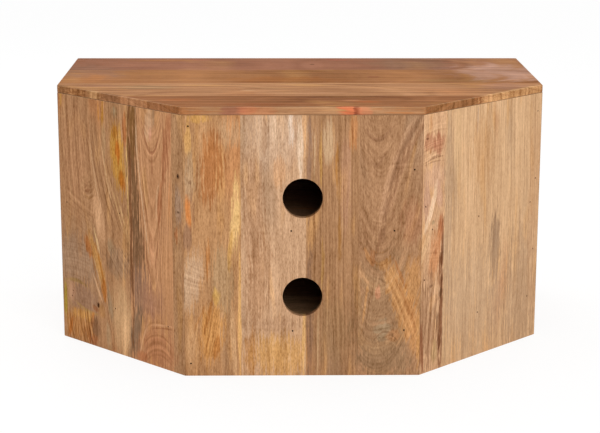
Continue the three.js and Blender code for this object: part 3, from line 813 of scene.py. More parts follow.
LEFT_SLANT_STAVES = [
    seen_stave(0, (206, 162, 124), 0.5, 110, 200, 0.06, 30, 0.4),
    seen_stave(70, (205, 165, 126), 0.5, -300, 300, 0.02, 40, 0.6),
]
LEFT_SLANT_MARKS = seen_marks([
    (22, 515, 18, 5, 94, (186, 132, 88), 0.6, -4),
    (27, 476, 34, 20, 0, (182, 128, 96), 0.9),
    (48, 470, 16, 22, 0, (176, 118, 88), 0.7),
    (10, 485, 4, 2, 0, (124, 82, 56), 0.8),
    (21, 458, 3, 7, 0, (170, 114, 62), 0.6),
    (34, 445, 2.6, 26, 98, (146, 104, 74), 0.7, -4),
    (30, 436, 1.8, 30, 94, (152, 110, 78), 0.6, -3),
    (34, 405, 32, 26, 0, (210, 166, 136), 0.7),
    (12, 358, 12, 42, 0, (194, 150, 126), 0.7),
    (50, 368, 9, 28, 10, (208, 162, 138), 0.6),
    (27, 336, 7, 56, -22, (242, 206, 172), 0.9, -6),
    (8, 262, 8, 44, -24, (224, 182, 140), 0.8),
    (35, 312, 5, 5, 0, (160, 132, 98), 0.7),
    (58, 292, 10, 36, 0, (176, 108, 70), 0.9),
    (42, 240, 19, 52, -6, (204, 142, 98), 0.85),
    (43, 250, 5, 8, 0, (158, 98, 62), 0.7),
    (26, 110, 26, 96, 0, (170, 129, 97), 0.85),
    (38, 148, 8, 20, -20, (214, 166, 122), 0.7),
    (53, 108, 8, 14, 0, (134, 98, 72), 0.7),
    (32, 180, 5, 3, 0, (130, 92, 66), 0.7),
    (5, 50, 7, 46, 4, (146, 92, 62), 0.8),
    (47, 40, 10, 26, 0, (176, 144, 98), 0.6),
    (58, 190, 10, 40, 0, (150, 100, 66), 0.7),
    (58, 84, 9, 34, 0, (142, 100, 70), 0.7),
    (65, 145, 7, 165, 0, (130, 84, 56), 0.9),
    (66, 200, 3.5, 60, 0, (98, 58, 36), 0.8),
    (62, 162, 7, 12, 0, (92, 60, 38), 0.8),
    (62, 232, 6, 16, 0, (112, 68, 42), 0.8),
    (62, 60, 6, 20, 0, (112, 70, 46), 0.8),
    (81, 300, 13, 260, 0, (190, 156, 124), 0.75),
    (90, 150, 8, 90, 0, (178, 146, 118), 0.5),
    (150, 440, 2, 70, 0, (192, 146, 100), 0.7),
    (170, 500, 3, 28, 0, (186, 160, 140), 0.6),
    (108, 470, 12, 80, 0, (226, 186, 142), 0.5),
    (190, 440, 34, 80, 0, (200, 152, 106), 0.5),
    (238, 265, 7, 45, 0, (178, 140, 106), 0.7),
    (240, 214, 18, 84, 0, (154, 123, 97), 0.75),
    (244, 100, 26, 76, -8, (184, 148, 118), 0.65),
    (232, 530, 14, 25, 0, (226, 186, 146), 0.5),
    (330, 110, 66, 140, 0, (178, 144, 114), 0.6),
    (160, 110, 74, 130, 0, (194, 160, 128), 0.6),
    (370, 300, 18, 250, 0, (198, 154, 116), 0.5),
])
LEFT_SLANT_BUNDLES = seen_bundles([
    (34, 500, 24, 46, 92, -8, 6, 0.7),
    (30, 458, 26, 40, 94, -3, 4, 1.0),
    (26, 290, 34, 100, -24, -4, 4, 0.8),
    (40, 236, 22, 34, 74, 0, 8, 0.5),
    (34, 120, 36, 90, -8, 0, 7, 0.9),
    (240, 230, 18, 90, 0, 0, 4, 0.6),
])
LEFT_SLANT_BENDS = [Bend(30, 460, 40, 50, 0, 0.4)]

# The top's distances across run from its back edge and those along from its +X end
TOP_STAVES = [
    seen_stave(0, (156, 102, 64), 1.7, 300, 0, 0.02, 40, 0.75),
    seen_stave(133, (184, 132, 92), 1.5, 40, 0, 0.03, 50, 0.75),
    seen_stave(298, (166, 112, 70), 1.6, 390, -900, 0.05, 0, 0.75),
    seen_stave(490, (154, 102, 76), 1.5, 560, 1500, 0.05, 0, 0.75),
]
TOP_MARKS = seen_marks([
    (460, 40, 110, 90, 0, (146, 106, 84), 0.6),
    (512, 357, 40, 110, 0, (172, 116, 90), 0.4),
    (573, 765, 40, 110, 0, (150, 112, 84), 0.4),
    (630, 836, 22, 70, 0, (136, 92, 66), 0.5),
    (525, 143, 16, 60, 0, (142, 92, 70), 0.5),
    (634, 204, 16, 70, 0, (174, 114, 64), 0.5),
    (648, 292, 14, 30, 0, (176, 104, 86), 0.5),
    (648, 597, 16, 34, 0, (172, 98, 78), 0.6),
    (573, 544, 9, 5, 0, (110, 70, 46), 0.8),
    (350, 480, 42, 130, 0, (176, 110, 56), 0.65),
    (430, 168, 20, 60, 0, (170, 118, 70), 0.5),
    (383, 673, 7, 14, 0, (140, 78, 52), 0.7),
    (333, 860, 20, 100, 0, (164, 122, 76), 0.5),
    # The next mark is a painted sheen: a pale pinkish glow of light across this end of the top
    (450, 950, 130, 110, 0, (197, 155, 137), 0.65),
    (168, 517, 7, 100, 0, (208, 154, 114), 0.7),
    (292, 560, 5, 160, 0, (204, 152, 108), 0.6),
    (245, 190, 28, 62, 0, (166, 132, 96), 0.6),
    (232, 448, 14, 46, 0, (168, 122, 84), 0.6),
    (206, 401, 8, 16, 0, (208, 164, 122), 0.5),
    (265, 75, 20, 45, 0, (172, 124, 98), 0.5),
    (250, 940, 44, 60, 0, (184, 136, 112), 0.6),
    (83, 265, 16, 40, 0, (182, 110, 64), 0.6),
    (80, 612, 10, 22, 0, (196, 136, 96), 0.7),
    (62, 640, 12, 30, 0, (190, 108, 62), 0.6),
    (118, 575, 7, 110, 0, (120, 76, 48), 0.7),
    (30, 420, 16, 70, 0, (150, 84, 48), 0.5),
    (0, 512, 8, 250, 0, (161, 119, 85), 0.8),
    (0, 375, 7, 24, 0, (146, 92, 70), 0.8),
    (0, 402, 9, 18, 0, (188, 110, 76), 0.6),
    (0, 434, 8, 26, 0, (172, 108, 72), 0.5),
    (0, 604, 8, 22, 0, (196, 98, 62), 0.75),
    (2, 617, 6, 7, 0, (118, 58, 38), 0.8),
    (0, 632, 8, 14, 0, (188, 112, 78), 0.5),
    (201, 951, 9, 108, -45, (216, 166, 116), 0.95),
    (60, 810, 7, 80, -45, (158, 112, 74), 0.8),
    (137, 137, 8, 190, 45, (176, 124, 86), 0.75),
    (262, 13, 7, 18, 45, (148, 104, 68), 0.7),
    (226, 49, 7, 26, 45, (158, 106, 62), 0.6),
    (190, 85, 7, 22, 45, (208, 162, 114), 0.7),
    (150, 125, 7, 26, 45, (146, 102, 72), 0.6),
    (100, 175, 7, 30, 45, (188, 136, 98), 0.6),
    (50, 225, 7, 26, 45, (158, 106, 72), 0.6),
])
TOP_BUNDLES = seen_bundles([
    (66, 512, 90, 620, 0, 14, 7, 1.7),
    (215, 512, 110, 720, 0, -18, 8, 1.7),
    (395, 512, 130, 760, 0, 16, 9, 1.3),
    (585, 512, 130, 760, 0, -14, 10, 1.25),
])

# Boards that the photograph doesn't show take their staves and marks by chance, in mm
PLAIN_COLOURS = [
    srgb(187, 137, 94),
    srgb(196, 152, 112),
    srgb(172, 126, 88),
    srgb(180, 128, 84),
    srgb(204, 162, 122),
    srgb(165, 120, 86),
]
PLAIN_MARK_COLOURS = [
    srgb(212, 168, 124),
    srgb(210, 156, 98),
    srgb(186, 122, 72),
    srgb(142, 102, 72),
    srgb(160, 124, 92),
    srgb(134, 92, 62),
]
MARK_ROOM = 8000
MOST_MARKS = 14
MARK_HALF_WIDTHS = (3, 14)
MARK_LENGTH_SHARES = (4, 10)
MARK_LEANS = (-5, 5)
MARK_BOW_SHARES = (-0.3, 0.3)
MARK_STRENGTHS = (0.35, 0.7)
BUNDLE_ROOM = 30000
MOST_BUNDLES = 4
BUNDLE_HALF_WIDTHS = (25, 60)
BUNDLE_PEAK_SHARES = (0.8, 1.6)
BUNDLE_LENGTH_SHARE = 0.6
BUNDLE_SPACINGS = (6, 12)
BUNDLE_STRENGTH = 0.7
ACROSS_THE_GRAIN = 90
STAVE_SPREAD_SHARES = (-0.12, 0.12)
STAVE_PITH_SHARES = (-1.2, 2.2)
STAVE_SLOPES = (0.02, 0.14)
STAVE_DEPTHS = (10 * MM, 60 * MM)
STAVE_CONTRASTS = (0.75, 1.05)
FIGURE_SEED_STEP = 500
LOG_STEP = 1.37


def reach_on(board, node):
    """The least and most that a node reaches across a board and along it, in mm."""
    turned = Matrix.Rotation(-board.turn, 4, "Z") @ Matrix.Translation((*(-Vector(board.corner)), 0))
    low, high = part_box(node)
    corners = [turned @ Vector(point) for point in itertools.product(*zip(low, high))]
    reach = []
    for letter in board.axes[:2]:
        places = [getattr(corner, letter) / MM for corner in corners]
        reach.append((min(places), max(places)))
    return reach


def plain_mark(dice, across, along):
    half_width = dice.uniform(*MARK_HALF_WIDTHS)
    half_length = half_width * dice.uniform(*MARK_LENGTH_SHARES)
    colour = dice.choice(PLAIN_MARK_COLOURS)
    place = (dice.uniform(*across), dice.uniform(*along))
    lean = dice.uniform(*MARK_LEANS)
    bow = dice.uniform(*MARK_BOW_SHARES) * half_width
    return Mark(*place, half_width, half_length, lean, colour, dice.uniform(*MARK_STRENGTHS), bow)


def plain_bundle(dice, across, along):
    """Lines across a stave that rise to a peak, as where a board is cut through its rings."""
    place = (dice.uniform(*across), dice.uniform(*along))
    half_width = dice.uniform(*BUNDLE_HALF_WIDTHS)
    half_length = half_width * BUNDLE_LENGTH_SHARE
    peak = dice.choice((-1, 1)) * half_width * dice.uniform(*BUNDLE_PEAK_SHARES)
    spacing = dice.uniform(*BUNDLE_SPACINGS)
    return Bundle(*place, half_width, half_length, ACROSS_THE_GRAIN, peak, spacing, BUNDLE_STRENGTH)


def plain_staves(dice, width, count):
    """Staves of about the same width, each from another part of the log."""
    even = width / count
    starts = [0.0] + [even * (index + dice.uniform(*STAVE_SPREAD_SHARES)) for index in range(1, count)]
    staves = []
    for start in starts:
        colour = dice.choice(PLAIN_COLOURS)
        pith = start + even * dice.uniform(*STAVE_PITH_SHARES)
        slope = dice.uniform(*STAVE_SLOPES)
        depth = dice.uniform(*STAVE_DEPTHS)
        staves.append(Stave(start, colour, dice.uniform(*STAVE_CONTRASTS), pith, depth, slope))
    return staves


def plain_board(node, board, width, count, seed):
    """The wood of a board that the photograph doesn't show."""
    staves = plain_staves(random.Random(seed), width, count)
    across, along = reach_on(board, node)
    room = (across[1] - across[0]) * (along[1] - along[0])
    dice = random.Random(seed + FIGURE_SEED_STEP)
    mark_count = min(MOST_MARKS, 1 + round(room / MARK_ROOM))
    marks = [plain_mark(dice, across, along) for _ in range(mark_count)]
    bundle_count = min(MOST_BUNDLES, round(room / BUNDLE_ROOM))
    bundles = [plain_bundle(dice, across, along) for _ in range(bundle_count)]
    return mango("mango_" + node, board, staves, marks, bundles, shift=seed * LOG_STEP)


# Metal and plastic
CLOUD = 12 * MM
CLOUD_RANGE = (0.38, 0.62)
CLOUD_ROUGHNESS = 0.3
SCRATCH_ROUGHNESS = 0.2
BRIGHT_EDGE = srgb(222, 214, 200)
BRIGHT_SHARE = 0.35
PLASTIC_GRAIN = 0.4 * MM
PLASTIC_RANGE = (0.3, 0.7)
PLASTIC_ROUGHNESS = 0.5


def metal(name, colour, tarnish, roughness, grain, relief=0.01 * MM):
    """A metal with cloudy tarnish, fine scratches and edges brightened by wear."""
    plate = Material(name)
    clouds = plate.grit(CLOUD, detail=4)
    scratches = plate.grit(grain, detail=3)
    tinted = plate.mix(plate.ease(clouds, *CLOUD_RANGE), tarnish, colour)
    bright = plate.mix(plate.edge_wear_and_highlight() * BRIGHT_SHARE, tinted, BRIGHT_EDGE)
    rough = (clouds - NOISE_MIDDLE) * CLOUD_ROUGHNESS + roughness
    rough = rough + (scratches - NOISE_MIDDLE) * SCRATCH_ROUGHNESS
    return plate.finish(bright, rough, scratches, relief, metallic=1.0)


def moulded_plastic(name, colour, dark, relief=0.03 * MM):
    """Plastic with the fine spark-eroded grain of a moulded fitting."""
    plastic = Material(name)
    grit = plastic.grit(PLASTIC_GRAIN, detail=2)
    shade = plastic.mix(plastic.ease(grit, *PLASTIC_RANGE), dark, colour)
    rough = (grit - NOISE_MIDDLE) * SCRATCH_ROUGHNESS + PLASTIC_ROUGHNESS
    return plastic.finish(shade, rough, grit, relief)


antique_brass = metal("antique_brass", srgb(176, 140, 84), srgb(112, 84, 48), roughness=0.42, grain=0.8 * MM)
black_iron = metal(
    "black_iron", srgb(62, 56, 52), srgb(36, 32, 30), roughness=0.5, grain=1.6 * MM, relief=0.08 * MM
)
zinc_steel = metal("zinc_steel", srgb(196, 196, 190), srgb(160, 160, 158), roughness=0.34, grain=0.9 * MM)
pin_steel = metal("pin_steel", srgb(66, 46, 34), srgb(36, 24, 18), roughness=0.7, grain=0.9 * MM)
brown_plastic = moulded_plastic("moulded_plastic", srgb(98, 66, 42), srgb(84, 54, 34))

# Dressing of the boards and fittings
WELD = 0.01 * MM
FLAT_TURN = math.radians(0.5)
SHARP_TURN = math.radians(30)
RIM_TURN = math.radians(80)
UPRIGHT_SHARE = 0.999
NARROW_HALF = 2.2 * MM
EASE_STEPS = 3
ROUND_PROFILE = 0.5


def bare_shape(node):
    """A CAD node's shape, with its triangles joined and its flat faces whole."""
    source = frame["nodes"][node].data
    shape = bmesh.new()
    corners = [shape.verts.new(vertex.co) for vertex in source.vertices]
    for polygon in source.polygons:
        shape.faces.new([corners[index] for index in polygon.vertices])
    bmesh.ops.remove_doubles(shape, verts=shape.verts, dist=WELD)
    bmesh.ops.dissolve_limit(shape, angle_limit=FLAT_TURN, verts=shape.verts, edges=shape.edges)
    return shape


def any_edge(edge):
    return True


def level_rim(edge):
    """Whether an edge runs round the top, the bottom or a hole of a wall, and isn't a mitre's."""
    run = edge.verts[1].co - edge.verts[0].co
    return abs(run.z) < run.length * UPRIGHT_SHARE and abs(edge.calc_face_angle(0)) > RIM_TURN


def ease_edges(shape, ease, chosen=any_edge, sharp=SHARP_TURN):
    """Rounds the sharp edges, marks the new narrow faces for the paler edge paint (wear, and on wood also a
    painted highlight) and shades the narrow ones round.
    """
    wear_and_highlight_layer = shape.faces.layers.float.new("edge_wear_and_highlight")
    eased = set()
    if ease:
        edges = [e for e in shape.edges if e.is_manifold and e.calc_face_angle(0) > sharp and chosen(e)]
        made = bmesh.ops.bevel(
            shape,
            geom=edges,
            offset=ease,
            offset_type="OFFSET",
            segments=EASE_STEPS,
            profile=ROUND_PROFILE,
            affect="EDGES",
            clamp_overlap=True,
        )
        eased = set(made["faces"])
    for face in shape.faces:
        face.smooth = face.calc_area() < face.calc_perimeter() * NARROW_HALF
        face[wear_and_highlight_layer] = float(face.smooth and face in eased)


def shown(name, shape, material):
    """A new object of a shape, with one material."""
    mesh = bpy.data.meshes.new(name)
    shape.to_mesh(mesh)
    shape.free()
    mesh.materials.append(material)
    piece = bpy.data.objects.new(name, mesh)
    bpy.context.scene.collection.objects.link(piece)
    return piece


def settle(piece):
    """Applies a piece's modifiers to its mesh."""
    depsgraph = bpy.context.evaluated_depsgraph_get()
    plain = bpy.data.meshes.new_from_object(piece.evaluated_get(depsgraph))
    piece.modifiers.clear()
    piece.data = plain


def drill(piece, tool_shape):
    """Cuts a shape out of a piece."""
    tool = shown("drill", tool_shape, piece.data.materials[0])
    cut = piece.modifiers.new("drill", "BOOLEAN")
    cut.operation = "DIFFERENCE"
    cut.solver = "EXACT"
    cut.object = tool
    settle(piece)
    bpy.data.objects.remove(tool)


BODIES = {node: body for body, nodes in frame["record"]["behaviour"]["bodies"].items() for node in nodes}


def stand_for(node, shape, material, tool_shape=None):
    """Shows a shape in the place of a CAD node, on the node's body."""
    piece = shown("finished_" + node, shape, material)
    if tool_shape:
        drill(piece, tool_shape)
    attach(piece, BODIES[node])
    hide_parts(node)


def dress(node, material, ease, chosen=any_edge, tool_shape=None):
    shape = bare_shape(node)
    ease_edges(shape, ease, chosen)
    stand_for(node, shape, material, tool_shape)


# Pins whose sunk heads show on the walls, by distance along the wall and height in mm. They
# hold the shelf and the bottom board.
WALL_PINS = {
    "back": [(12, 512), (457, 425), (214, 301), (419, 301), (217, 94), (12, 26), (441, 95)],
    "left_slant": [
        (375, 496), (374, 351), (182, 300), (358, 301), (374, 196), (11, 348), (11, 197),
        (33, 298), (358, 93), (186, 93),
    ],
    "right_slant": [(117, 93), (175, 97), (195, 305), (22, 301), (340, 93), (375, 410)],
    "left_side": [(60, 301), (200, 301), (340, 300), (70, 94), (330, 95)],
    "right_side": [(62, 300), (198, 301), (338, 301), (66, 95), (334, 94)],
}
PIN_HOLE_RADIUS = 1.9 * MM
PIN_HOLE_DEPTH = 1.6 * MM
PIN_SINK = 1 * MM
PIN_HEAD_RADIUS = 1.8 * MM
PIN_HEAD_HEIGHT = 0.5 * MM
PIN_SIDES = 10


def pin_holes(wall, places):
    """Short cylinders through a wall's outer face, one at each pin."""
    shape = bmesh.new()
    spin = outward(wall).to_track_quat("Z", "Y").to_matrix().to_4x4()
    for along, height in places:
        bmesh.ops.create_cone(
            shape,
            cap_ends=True,
            segments=PIN_SIDES,
            radius1=PIN_HOLE_RADIUS,
            radius2=PIN_HOLE_RADIUS,
            depth=2 * PIN_HOLE_DEPTH,
            matrix=Matrix.Translation(on_wall(wall, along * MM, height * MM)) @ spin,
        )
    return shape


# Walls, top, bottom board and shelf
BOARD_EASE = 0.5 * MM
WALL_EASE = 0.6 * MM
FRAME_EASE = 1 * MM
DOOR_EASE = 0.4 * MM
# The walls that the photograph shows. The last number sets a wall's log apart from the others.
WALL_FIGURES = {
    "back": (BACK_STAVES, BACK_MARKS, BACK_BUNDLES, BACK_BENDS, 0),
    "right_slant": (RIGHT_SLANT_STAVES, RIGHT_SLANT_MARKS, RIGHT_SLANT_BUNDLES, RIGHT_SLANT_BENDS, 21),
    "left_slant": (LEFT_SLANT_STAVES, LEFT_SLANT_MARKS, LEFT_SLANT_BUNDLES, LEFT_SLANT_BENDS, 43),
}
PLAIN_WALLS = {"right_side": {"count": 4, "seed": 5}, "left_side": {"count": 3, "seed": 8}}
for wall_name, wall in WALLS.items():
    node = wall_name + "_panel"
    board = Board(wall.corner, wall.turn, UPRIGHT_GRAIN)
    if wall_name in WALL_FIGURES:
        wood = mango("mango_" + node, board, *WALL_FIGURES[wall_name])
    else:
        wood = plain_board(node, board, wall.length, **PLAIN_WALLS[wall_name])
    dress(node, wood, WALL_EASE, level_rim, pin_holes(wall, WALL_PINS[wall_name]))

TOP_SHIFT = 100
LYING_STAVES = 6
lying_board = Board((half_width, back_y), math.radians(180), FLAT_BOARD_GRAIN)
top_wood = mango("mango_top_board", lying_board, TOP_STAVES, TOP_MARKS, TOP_BUNDLES, shift=TOP_SHIFT)
dress("top_board", top_wood, BOARD_EASE)
for node, ease, seed in (("bottom_board", FRAME_EASE, 11), ("shelf", BOARD_EASE, 17)):
    dress(node, plain_board(node, lying_board, whole_depth, LYING_STAVES, seed), ease)

# Face frame and doors, on boards that stand on the floor in the middle of the front
STRIP_WIDTH = 100 * MM
PANEL_STAVES = 3
SHOULDER = 2 * MM
front_upright = Board((0, front_y), 0.0, UPRIGHT_GRAIN)
front_level = Board((0, front_y), 0.0, LEVEL_GRAIN)
FACE_FRAME = {
    "left_face_stile": front_upright,
    "right_face_stile": front_upright,
    "face_top_rail": front_level,
    "face_bottom_rail": front_level,
}
DOOR_FRAME = {
    "door_hinge_stile": front_upright,
    "door_meeting_stile": front_upright,
    "door_top_rail": front_level,
    "door_bottom_rail": front_level,
}
seeds = itertools.count(31)


def dress_strip(node, board, ease):
    """Dresses a stile, a rail or a cleat, which is a single stave."""
    dress(node, plain_board(node, board, STRIP_WIDTH, 1, next(seeds)), ease)


def cut_shoulder(shape):
    """Cuts a small square shoulder between a raised panel's bevel and its field."""
    field = min(shape.faces, key=lambda face: face.calc_center_median().y)
    for vert in field.verts:
        vert.co.y += SHOULDER
    made = bmesh.ops.extrude_discrete_faces(shape, faces=[field])
    for vert in made["faces"][0].verts:
        vert.co.y -= SHOULDER


def dress_panel(node):
    """Dresses a door's raised panel, which is glued up from staves."""
    low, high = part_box(node)
    board = Board((low.x, front_y), 0.0, UPRIGHT_GRAIN)
    wood = plain_board(node, board, high.x - low.x, PANEL_STAVES, next(seeds))
    shape = bare_shape(node)
    cut_shoulder(shape)
    ease_edges(shape, DOOR_EASE)
    stand_for(node, shape, wood)


for node, board in FACE_FRAME.items():
    dress_strip(node, board, FRAME_EASE)
for side in SIDES:
    for part, board in DOOR_FRAME.items():
        dress_strip(f"{side}_{part}", board, DOOR_EASE)
    dress_panel(side + "_door_panel")

# Cleats, whose grain runs along their walls
for level in LEVELS:
    for wall_name, wall in WALLS.items():
        dress_strip(cleat_node(wall_name, level), Board(wall.corner, wall.turn, LEVEL_GRAIN), FRAME_EASE)
dress_strip("bottom_front_cleat", front_level, FRAME_EASE)

# Knobs, turned more finely than the solids that they stand for
KNOB_STEPS = 72
KNOB_CURVE_STEPS = 8
KNOB_EASE = 0.35 * MM
KNOB_SHARP_TURN = math.radians(40)
ROSE_SHARE = 11 / 15
ROSE_HEIGHT_SHARE = 3 / 27
NECK_SHARE = 6 / 15
RIM_LOW_SHARE = 19 / 27
RIM_HIGH_SHARE = 22 / 27


def curve_points(start, control, end):
    """Points on a quadratic curve, without its start."""
    points = []
    for step in range(1, KNOB_CURVE_STEPS + 1):
        share = step / KNOB_CURVE_STEPS
        points.append(start.lerp(control, share).lerp(control.lerp(end, share), share))
    return points


def knob_profile(radius, length):
    """Half of a knob's outline, by radius and distance from the door."""
    rose = radius * ROSE_SHARE
    rose_height = length * ROSE_HEIGHT_SHARE
    neck = radius * NECK_SHARE
    rim_low = length * RIM_LOW_SHARE
    rim_high = length * RIM_HIGH_SHARE
    points = [Vector((0, 0)), Vector((rose, 0)), Vector((rose, rose_height / 2))]
    neck_start = Vector((neck, rose_height * 2))
    points += curve_points(points[-1], Vector((neck, rose_height / 2)), neck_start)
    neck_end = Vector((radius, rim_low))
    points += curve_points(neck_start, Vector((neck, rim_low - (rim_high - rim_low))), neck_end)
    points.append(Vector((radius, rim_high)))
    points += curve_points(points[-1], Vector((radius, length)), Vector((0, length)))
    return points


def turned_shape(profile, foot):
    """A profile turned about the line that runs from its foot towards the front."""
    shape = bmesh.new()
    verts = [shape.verts.new((foot.x + p.x, foot.y - p.y, foot.z)) for p in profile]
    edges = [shape.edges.new(pair) for pair in zip(verts, verts[1:])]
    bmesh.ops.spin(
        shape,
        geom=verts + edges,
        cent=foot,
        axis=(0, 1, 0),
        angle=math.tau,
        steps=KNOB_STEPS,
    )
    bmesh.ops.remove_doubles(shape, verts=shape.verts, dist=WELD)
    bmesh.ops.recalc_face_normals(shape, faces=shape.faces)
    return shape


for side in SIDES:
    node = side + "_knob"
    low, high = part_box(node)
    foot = Vector(((low.x + high.x) / 2, high.y, (low.z + high.z) / 2))
    shape = turned_shape(knob_profile((high.x - low.x) / 2, high.y - low.y), foot)
    ease_edges(shape, KNOB_EASE, sharp=KNOB_SHARP_TURN)
    for face in shape.faces:
        face.smooth = True
    stand_for(node, shape, black_iron)

# Screws and pins, as rows of points that carry the way that each head faces
SCREW_SIDES = 20
SLOT_LENGTH_SHARE = 1.15
SPIN_SEED = 4
# Of a random value's inputs, these two take the least and the greatest number
LEAST_INPUT = 2
GREATEST_INPUT = 3
FASTENER_SIZES = ("head_radius", "foot_radius", "head_height", "slot_width", "slot_depth")
FASTENER_INPUTS = {"points": "Geometry", **dict.fromkeys(FASTENER_SIZES, "Float"), "finish": "Material"}


def with_cross(group, head):
    """A head with two slots cut across each other into its top."""
    given = group.given
    width = given["slot_width"]
    length = given["head_radius"] * SLOT_LENGTH_SHARE
    height = given["slot_depth"] * 2
    for x, y in ((length, width), (width, length)):
        bar = group.add("GeometryNodeMeshCube", {"Size": group.vector(x, y, height)})
        cut = {"Mesh 1": head, "Mesh 2": bar}
        head = group.add("GeometryNodeMeshBoolean", cut, operation="DIFFERENCE")
    return head


def fastener_group(name, cross):
    """Heads stood on points: a countersunk cone, with or without a cross cut into it."""
    group = Group(name, "GeometryNodeTree", FASTENER_INPUTS, "Geometry")
    group.tree.is_modifier = True
    given = group.given
    cone_inputs = {
        "Vertices": SCREW_SIDES,
        "Radius Top": given["head_radius"],
        "Radius Bottom": given["foot_radius"],
        "Depth": given["head_height"],
    }
    cone = group.add("GeometryNodeMeshCone", cone_inputs, fill_type="NGON")
    down = group.vector(z=given["head_height"] * -1)
    head = group.add("GeometryNodeTransform", {"Geometry": cone, "Translation": down})
    if cross:
        head = with_cross(group, head)
    facing = group.add("GeometryNodeInputNamedAttribute", {"Name": "facing"}, data_type="FLOAT_VECTOR")
    stood = group.add("FunctionNodeAlignRotationToVector", {"Vector": facing}, axis="Z")
    chance = {LEAST_INPUT: 0.0, GREATEST_INPUT: math.pi, "Seed": SPIN_SEED}
    angle = group.add("FunctionNodeRandomValue", chance, output=1, data_type="FLOAT")
    spin = group.add("FunctionNodeAxisAngleToRotation", {"Axis": (0, 0, 1), "Angle": angle})
    rotation = group.add("FunctionNodeRotateRotation", {0: stood, 1: spin}, rotation_space="LOCAL")
    stand = {"Points": given["points"], "Instance": head, "Rotation": rotation}
    heads = group.add("GeometryNodeInstanceOnPoints", stand)
    real = group.add("GeometryNodeRealizeInstances", {0: heads})
    painted = group.add("GeometryNodeSetMaterial", {"Geometry": real, "Material": given["finish"]})
    group.end("NodeGroupOutput", painted)
    return group


Fastener = namedtuple("Fastener", ("group", "finish", *FASTENER_SIZES), defaults=(0.0, 0.0))
screw_group = fastener_group("countersunk_screws", cross=True)
pin_group = fastener_group("pin_heads", cross=False)
LEAF_SCREW = Fastener(
    screw_group,
    antique_brass,
    head_radius=3.2 * MM,
    foot_radius=1.6 * MM,
    head_height=1.45 * MM,
    slot_width=0.8 * MM,
    slot_depth=0.8 * MM,
)
WOOD_SCREW = Fastener(
    screw_group,
    zinc_steel,
    head_radius=3.8 * MM,
    foot_radius=1.9 * MM,
    head_height=2.4 * MM,
    slot_width=0.9 * MM,
    slot_depth=1.3 * MM,
)
PLATE_SCREW = Fastener(
    screw_group,
    zinc_steel,
    head_radius=2.2 * MM,
    foot_radius=1.2 * MM,
    head_height=1.0 * MM,
    slot_width=0.6 * MM,
    slot_depth=0.6 * MM,
)
PIN_HEAD = Fastener(
    pin_group,
    pin_steel,
    head_radius=PIN_HEAD_RADIUS,
    foot_radius=PIN_HEAD_RADIUS,
    head_height=PIN_HEAD_HEIGHT,
)


def fasten(name, fastener, places, body):
    """Stands a fastener's head at each place, a point and the way it faces, as one mesh."""
    mesh = bpy.data.meshes.new(name)
    mesh.from_pydata([point for point, _ in places], [], [])
    facing = mesh.attributes.new("facing", "FLOAT_VECTOR", "POINT")
    facing.data.foreach_set("vector", [value for _, way in places for value in way])
    piece = bpy.data.objects.new(name, mesh)
    bpy.context.scene.collection.objects.link(piece)
    identifiers = fastener.group.identifiers
    heads = piece.modifiers.new("heads", "NODES")
    heads.node_group = fastener.group.tree
    for size_name in FASTENER_SIZES:
        heads[identifiers[size_name]] = getattr(fastener, size_name)
    heads[identifiers["finish"]] = fastener.finish
    settle(piece)
    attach(piece, body)


# Hinge screws: three in each leaf, the middle one nearer the knuckles
HINGE_LENGTH = 50 * MM
LEAF_HALF_GAP = 0.3 * MM
LEAF_REACH = 14 * MM
SPREAD_SHARE = 0.34
STAGGER_SHARE = 0.18


def leaf_screws(side, leaf):
    towards = (1 if side == "right" else -1) * (1 if leaf == "frame" else -1)
    places = []
    for height in ("lower", "upper"):
        leaf_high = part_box(f"{side}_{height}_hinge_{leaf}_leaf")[1]
        pin_low, pin_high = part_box(f"{side}_{height}_hinge_pin")
        x = (pin_low.x + pin_high.x) / 2 + towards * LEAF_HALF_GAP
        for row in (-1, 0, 1):
            stagger = (-1 if row == 0 else 1) * STAGGER_SHARE * LEAF_REACH
            y = leaf_high.y - LEAF_REACH / 2 + stagger
            z = (pin_low.z + pin_high.z) / 2 + row * SPREAD_SHARE * HINGE_LENGTH
            places.append((Vector((x, y, z)), Vector((-towards, 0, 0))))
    return places


frame_leaf_screws = leaf_screws("left", "frame") + leaf_screws("right", "frame")
fasten("frame_leaf_screws", LEAF_SCREW, frame_leaf_screws, "case")
for side in SIDES:
    fasten(side + "_door_leaf_screws", LEAF_SCREW, leaf_screws(side, "door"), side + "_door")

# Cleat screws: three into the wall and two up into the board
CLEAT_HALF = 10 * MM
HEAD_PROUD = 0.05 * MM
INTO_WALL_SHARES = (0.16, 0.5, 0.84)
INTO_BOARD_SHARES = (0.3, 0.7)
DOWN = Vector((0, 0, -1))


def screws_of_cleat(wall, node):
    low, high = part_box(node)
    face_depth = cleat_face_depth + HEAD_PROUD
    middle_depth = cleat_face_depth - CLEAT_HALF
    places = []
    for share in INTO_WALL_SHARES:
        places.append((on_wall(wall, wall.length * share, (low.z + high.z) / 2, face_depth), -outward(wall)))
    for share in INTO_BOARD_SHARES:
        places.append((on_wall(wall, wall.length * share, low.z - HEAD_PROUD, middle_depth), DOWN))
    return places


cleat_screws = []
for level in LEVELS:
    for wall_name, wall in WALLS.items():
        cleat_screws += screws_of_cleat(wall, cleat_node(wall_name, level))
fasten("cleat_screws", WOOD_SCREW, cleat_screws, "case")

# Catch and strike screws
CATCH_INSET = 5 * MM
catch_low, catch_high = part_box("catch_body")
catch_middle_y = (catch_low.y + catch_high.y) / 2
catch_screws = []
for x in (catch_low.x + CATCH_INSET, catch_high.x - CATCH_INSET):
    catch_screws.append((Vector((x, catch_middle_y, catch_low.z - HEAD_PROUD)), DOWN))
fasten("catch_screws", PLATE_SCREW, catch_screws, "case")
for side in SIDES:
    low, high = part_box(side + "_strike_plate")
    middle = (low + high) / 2
    strike_screw = (Vector((middle.x, high.y + HEAD_PROUD, middle.z)), Vector((0, 1, 0)))
    fasten(side + "_strike_screw", PLATE_SCREW, [strike_screw], side + "_door")

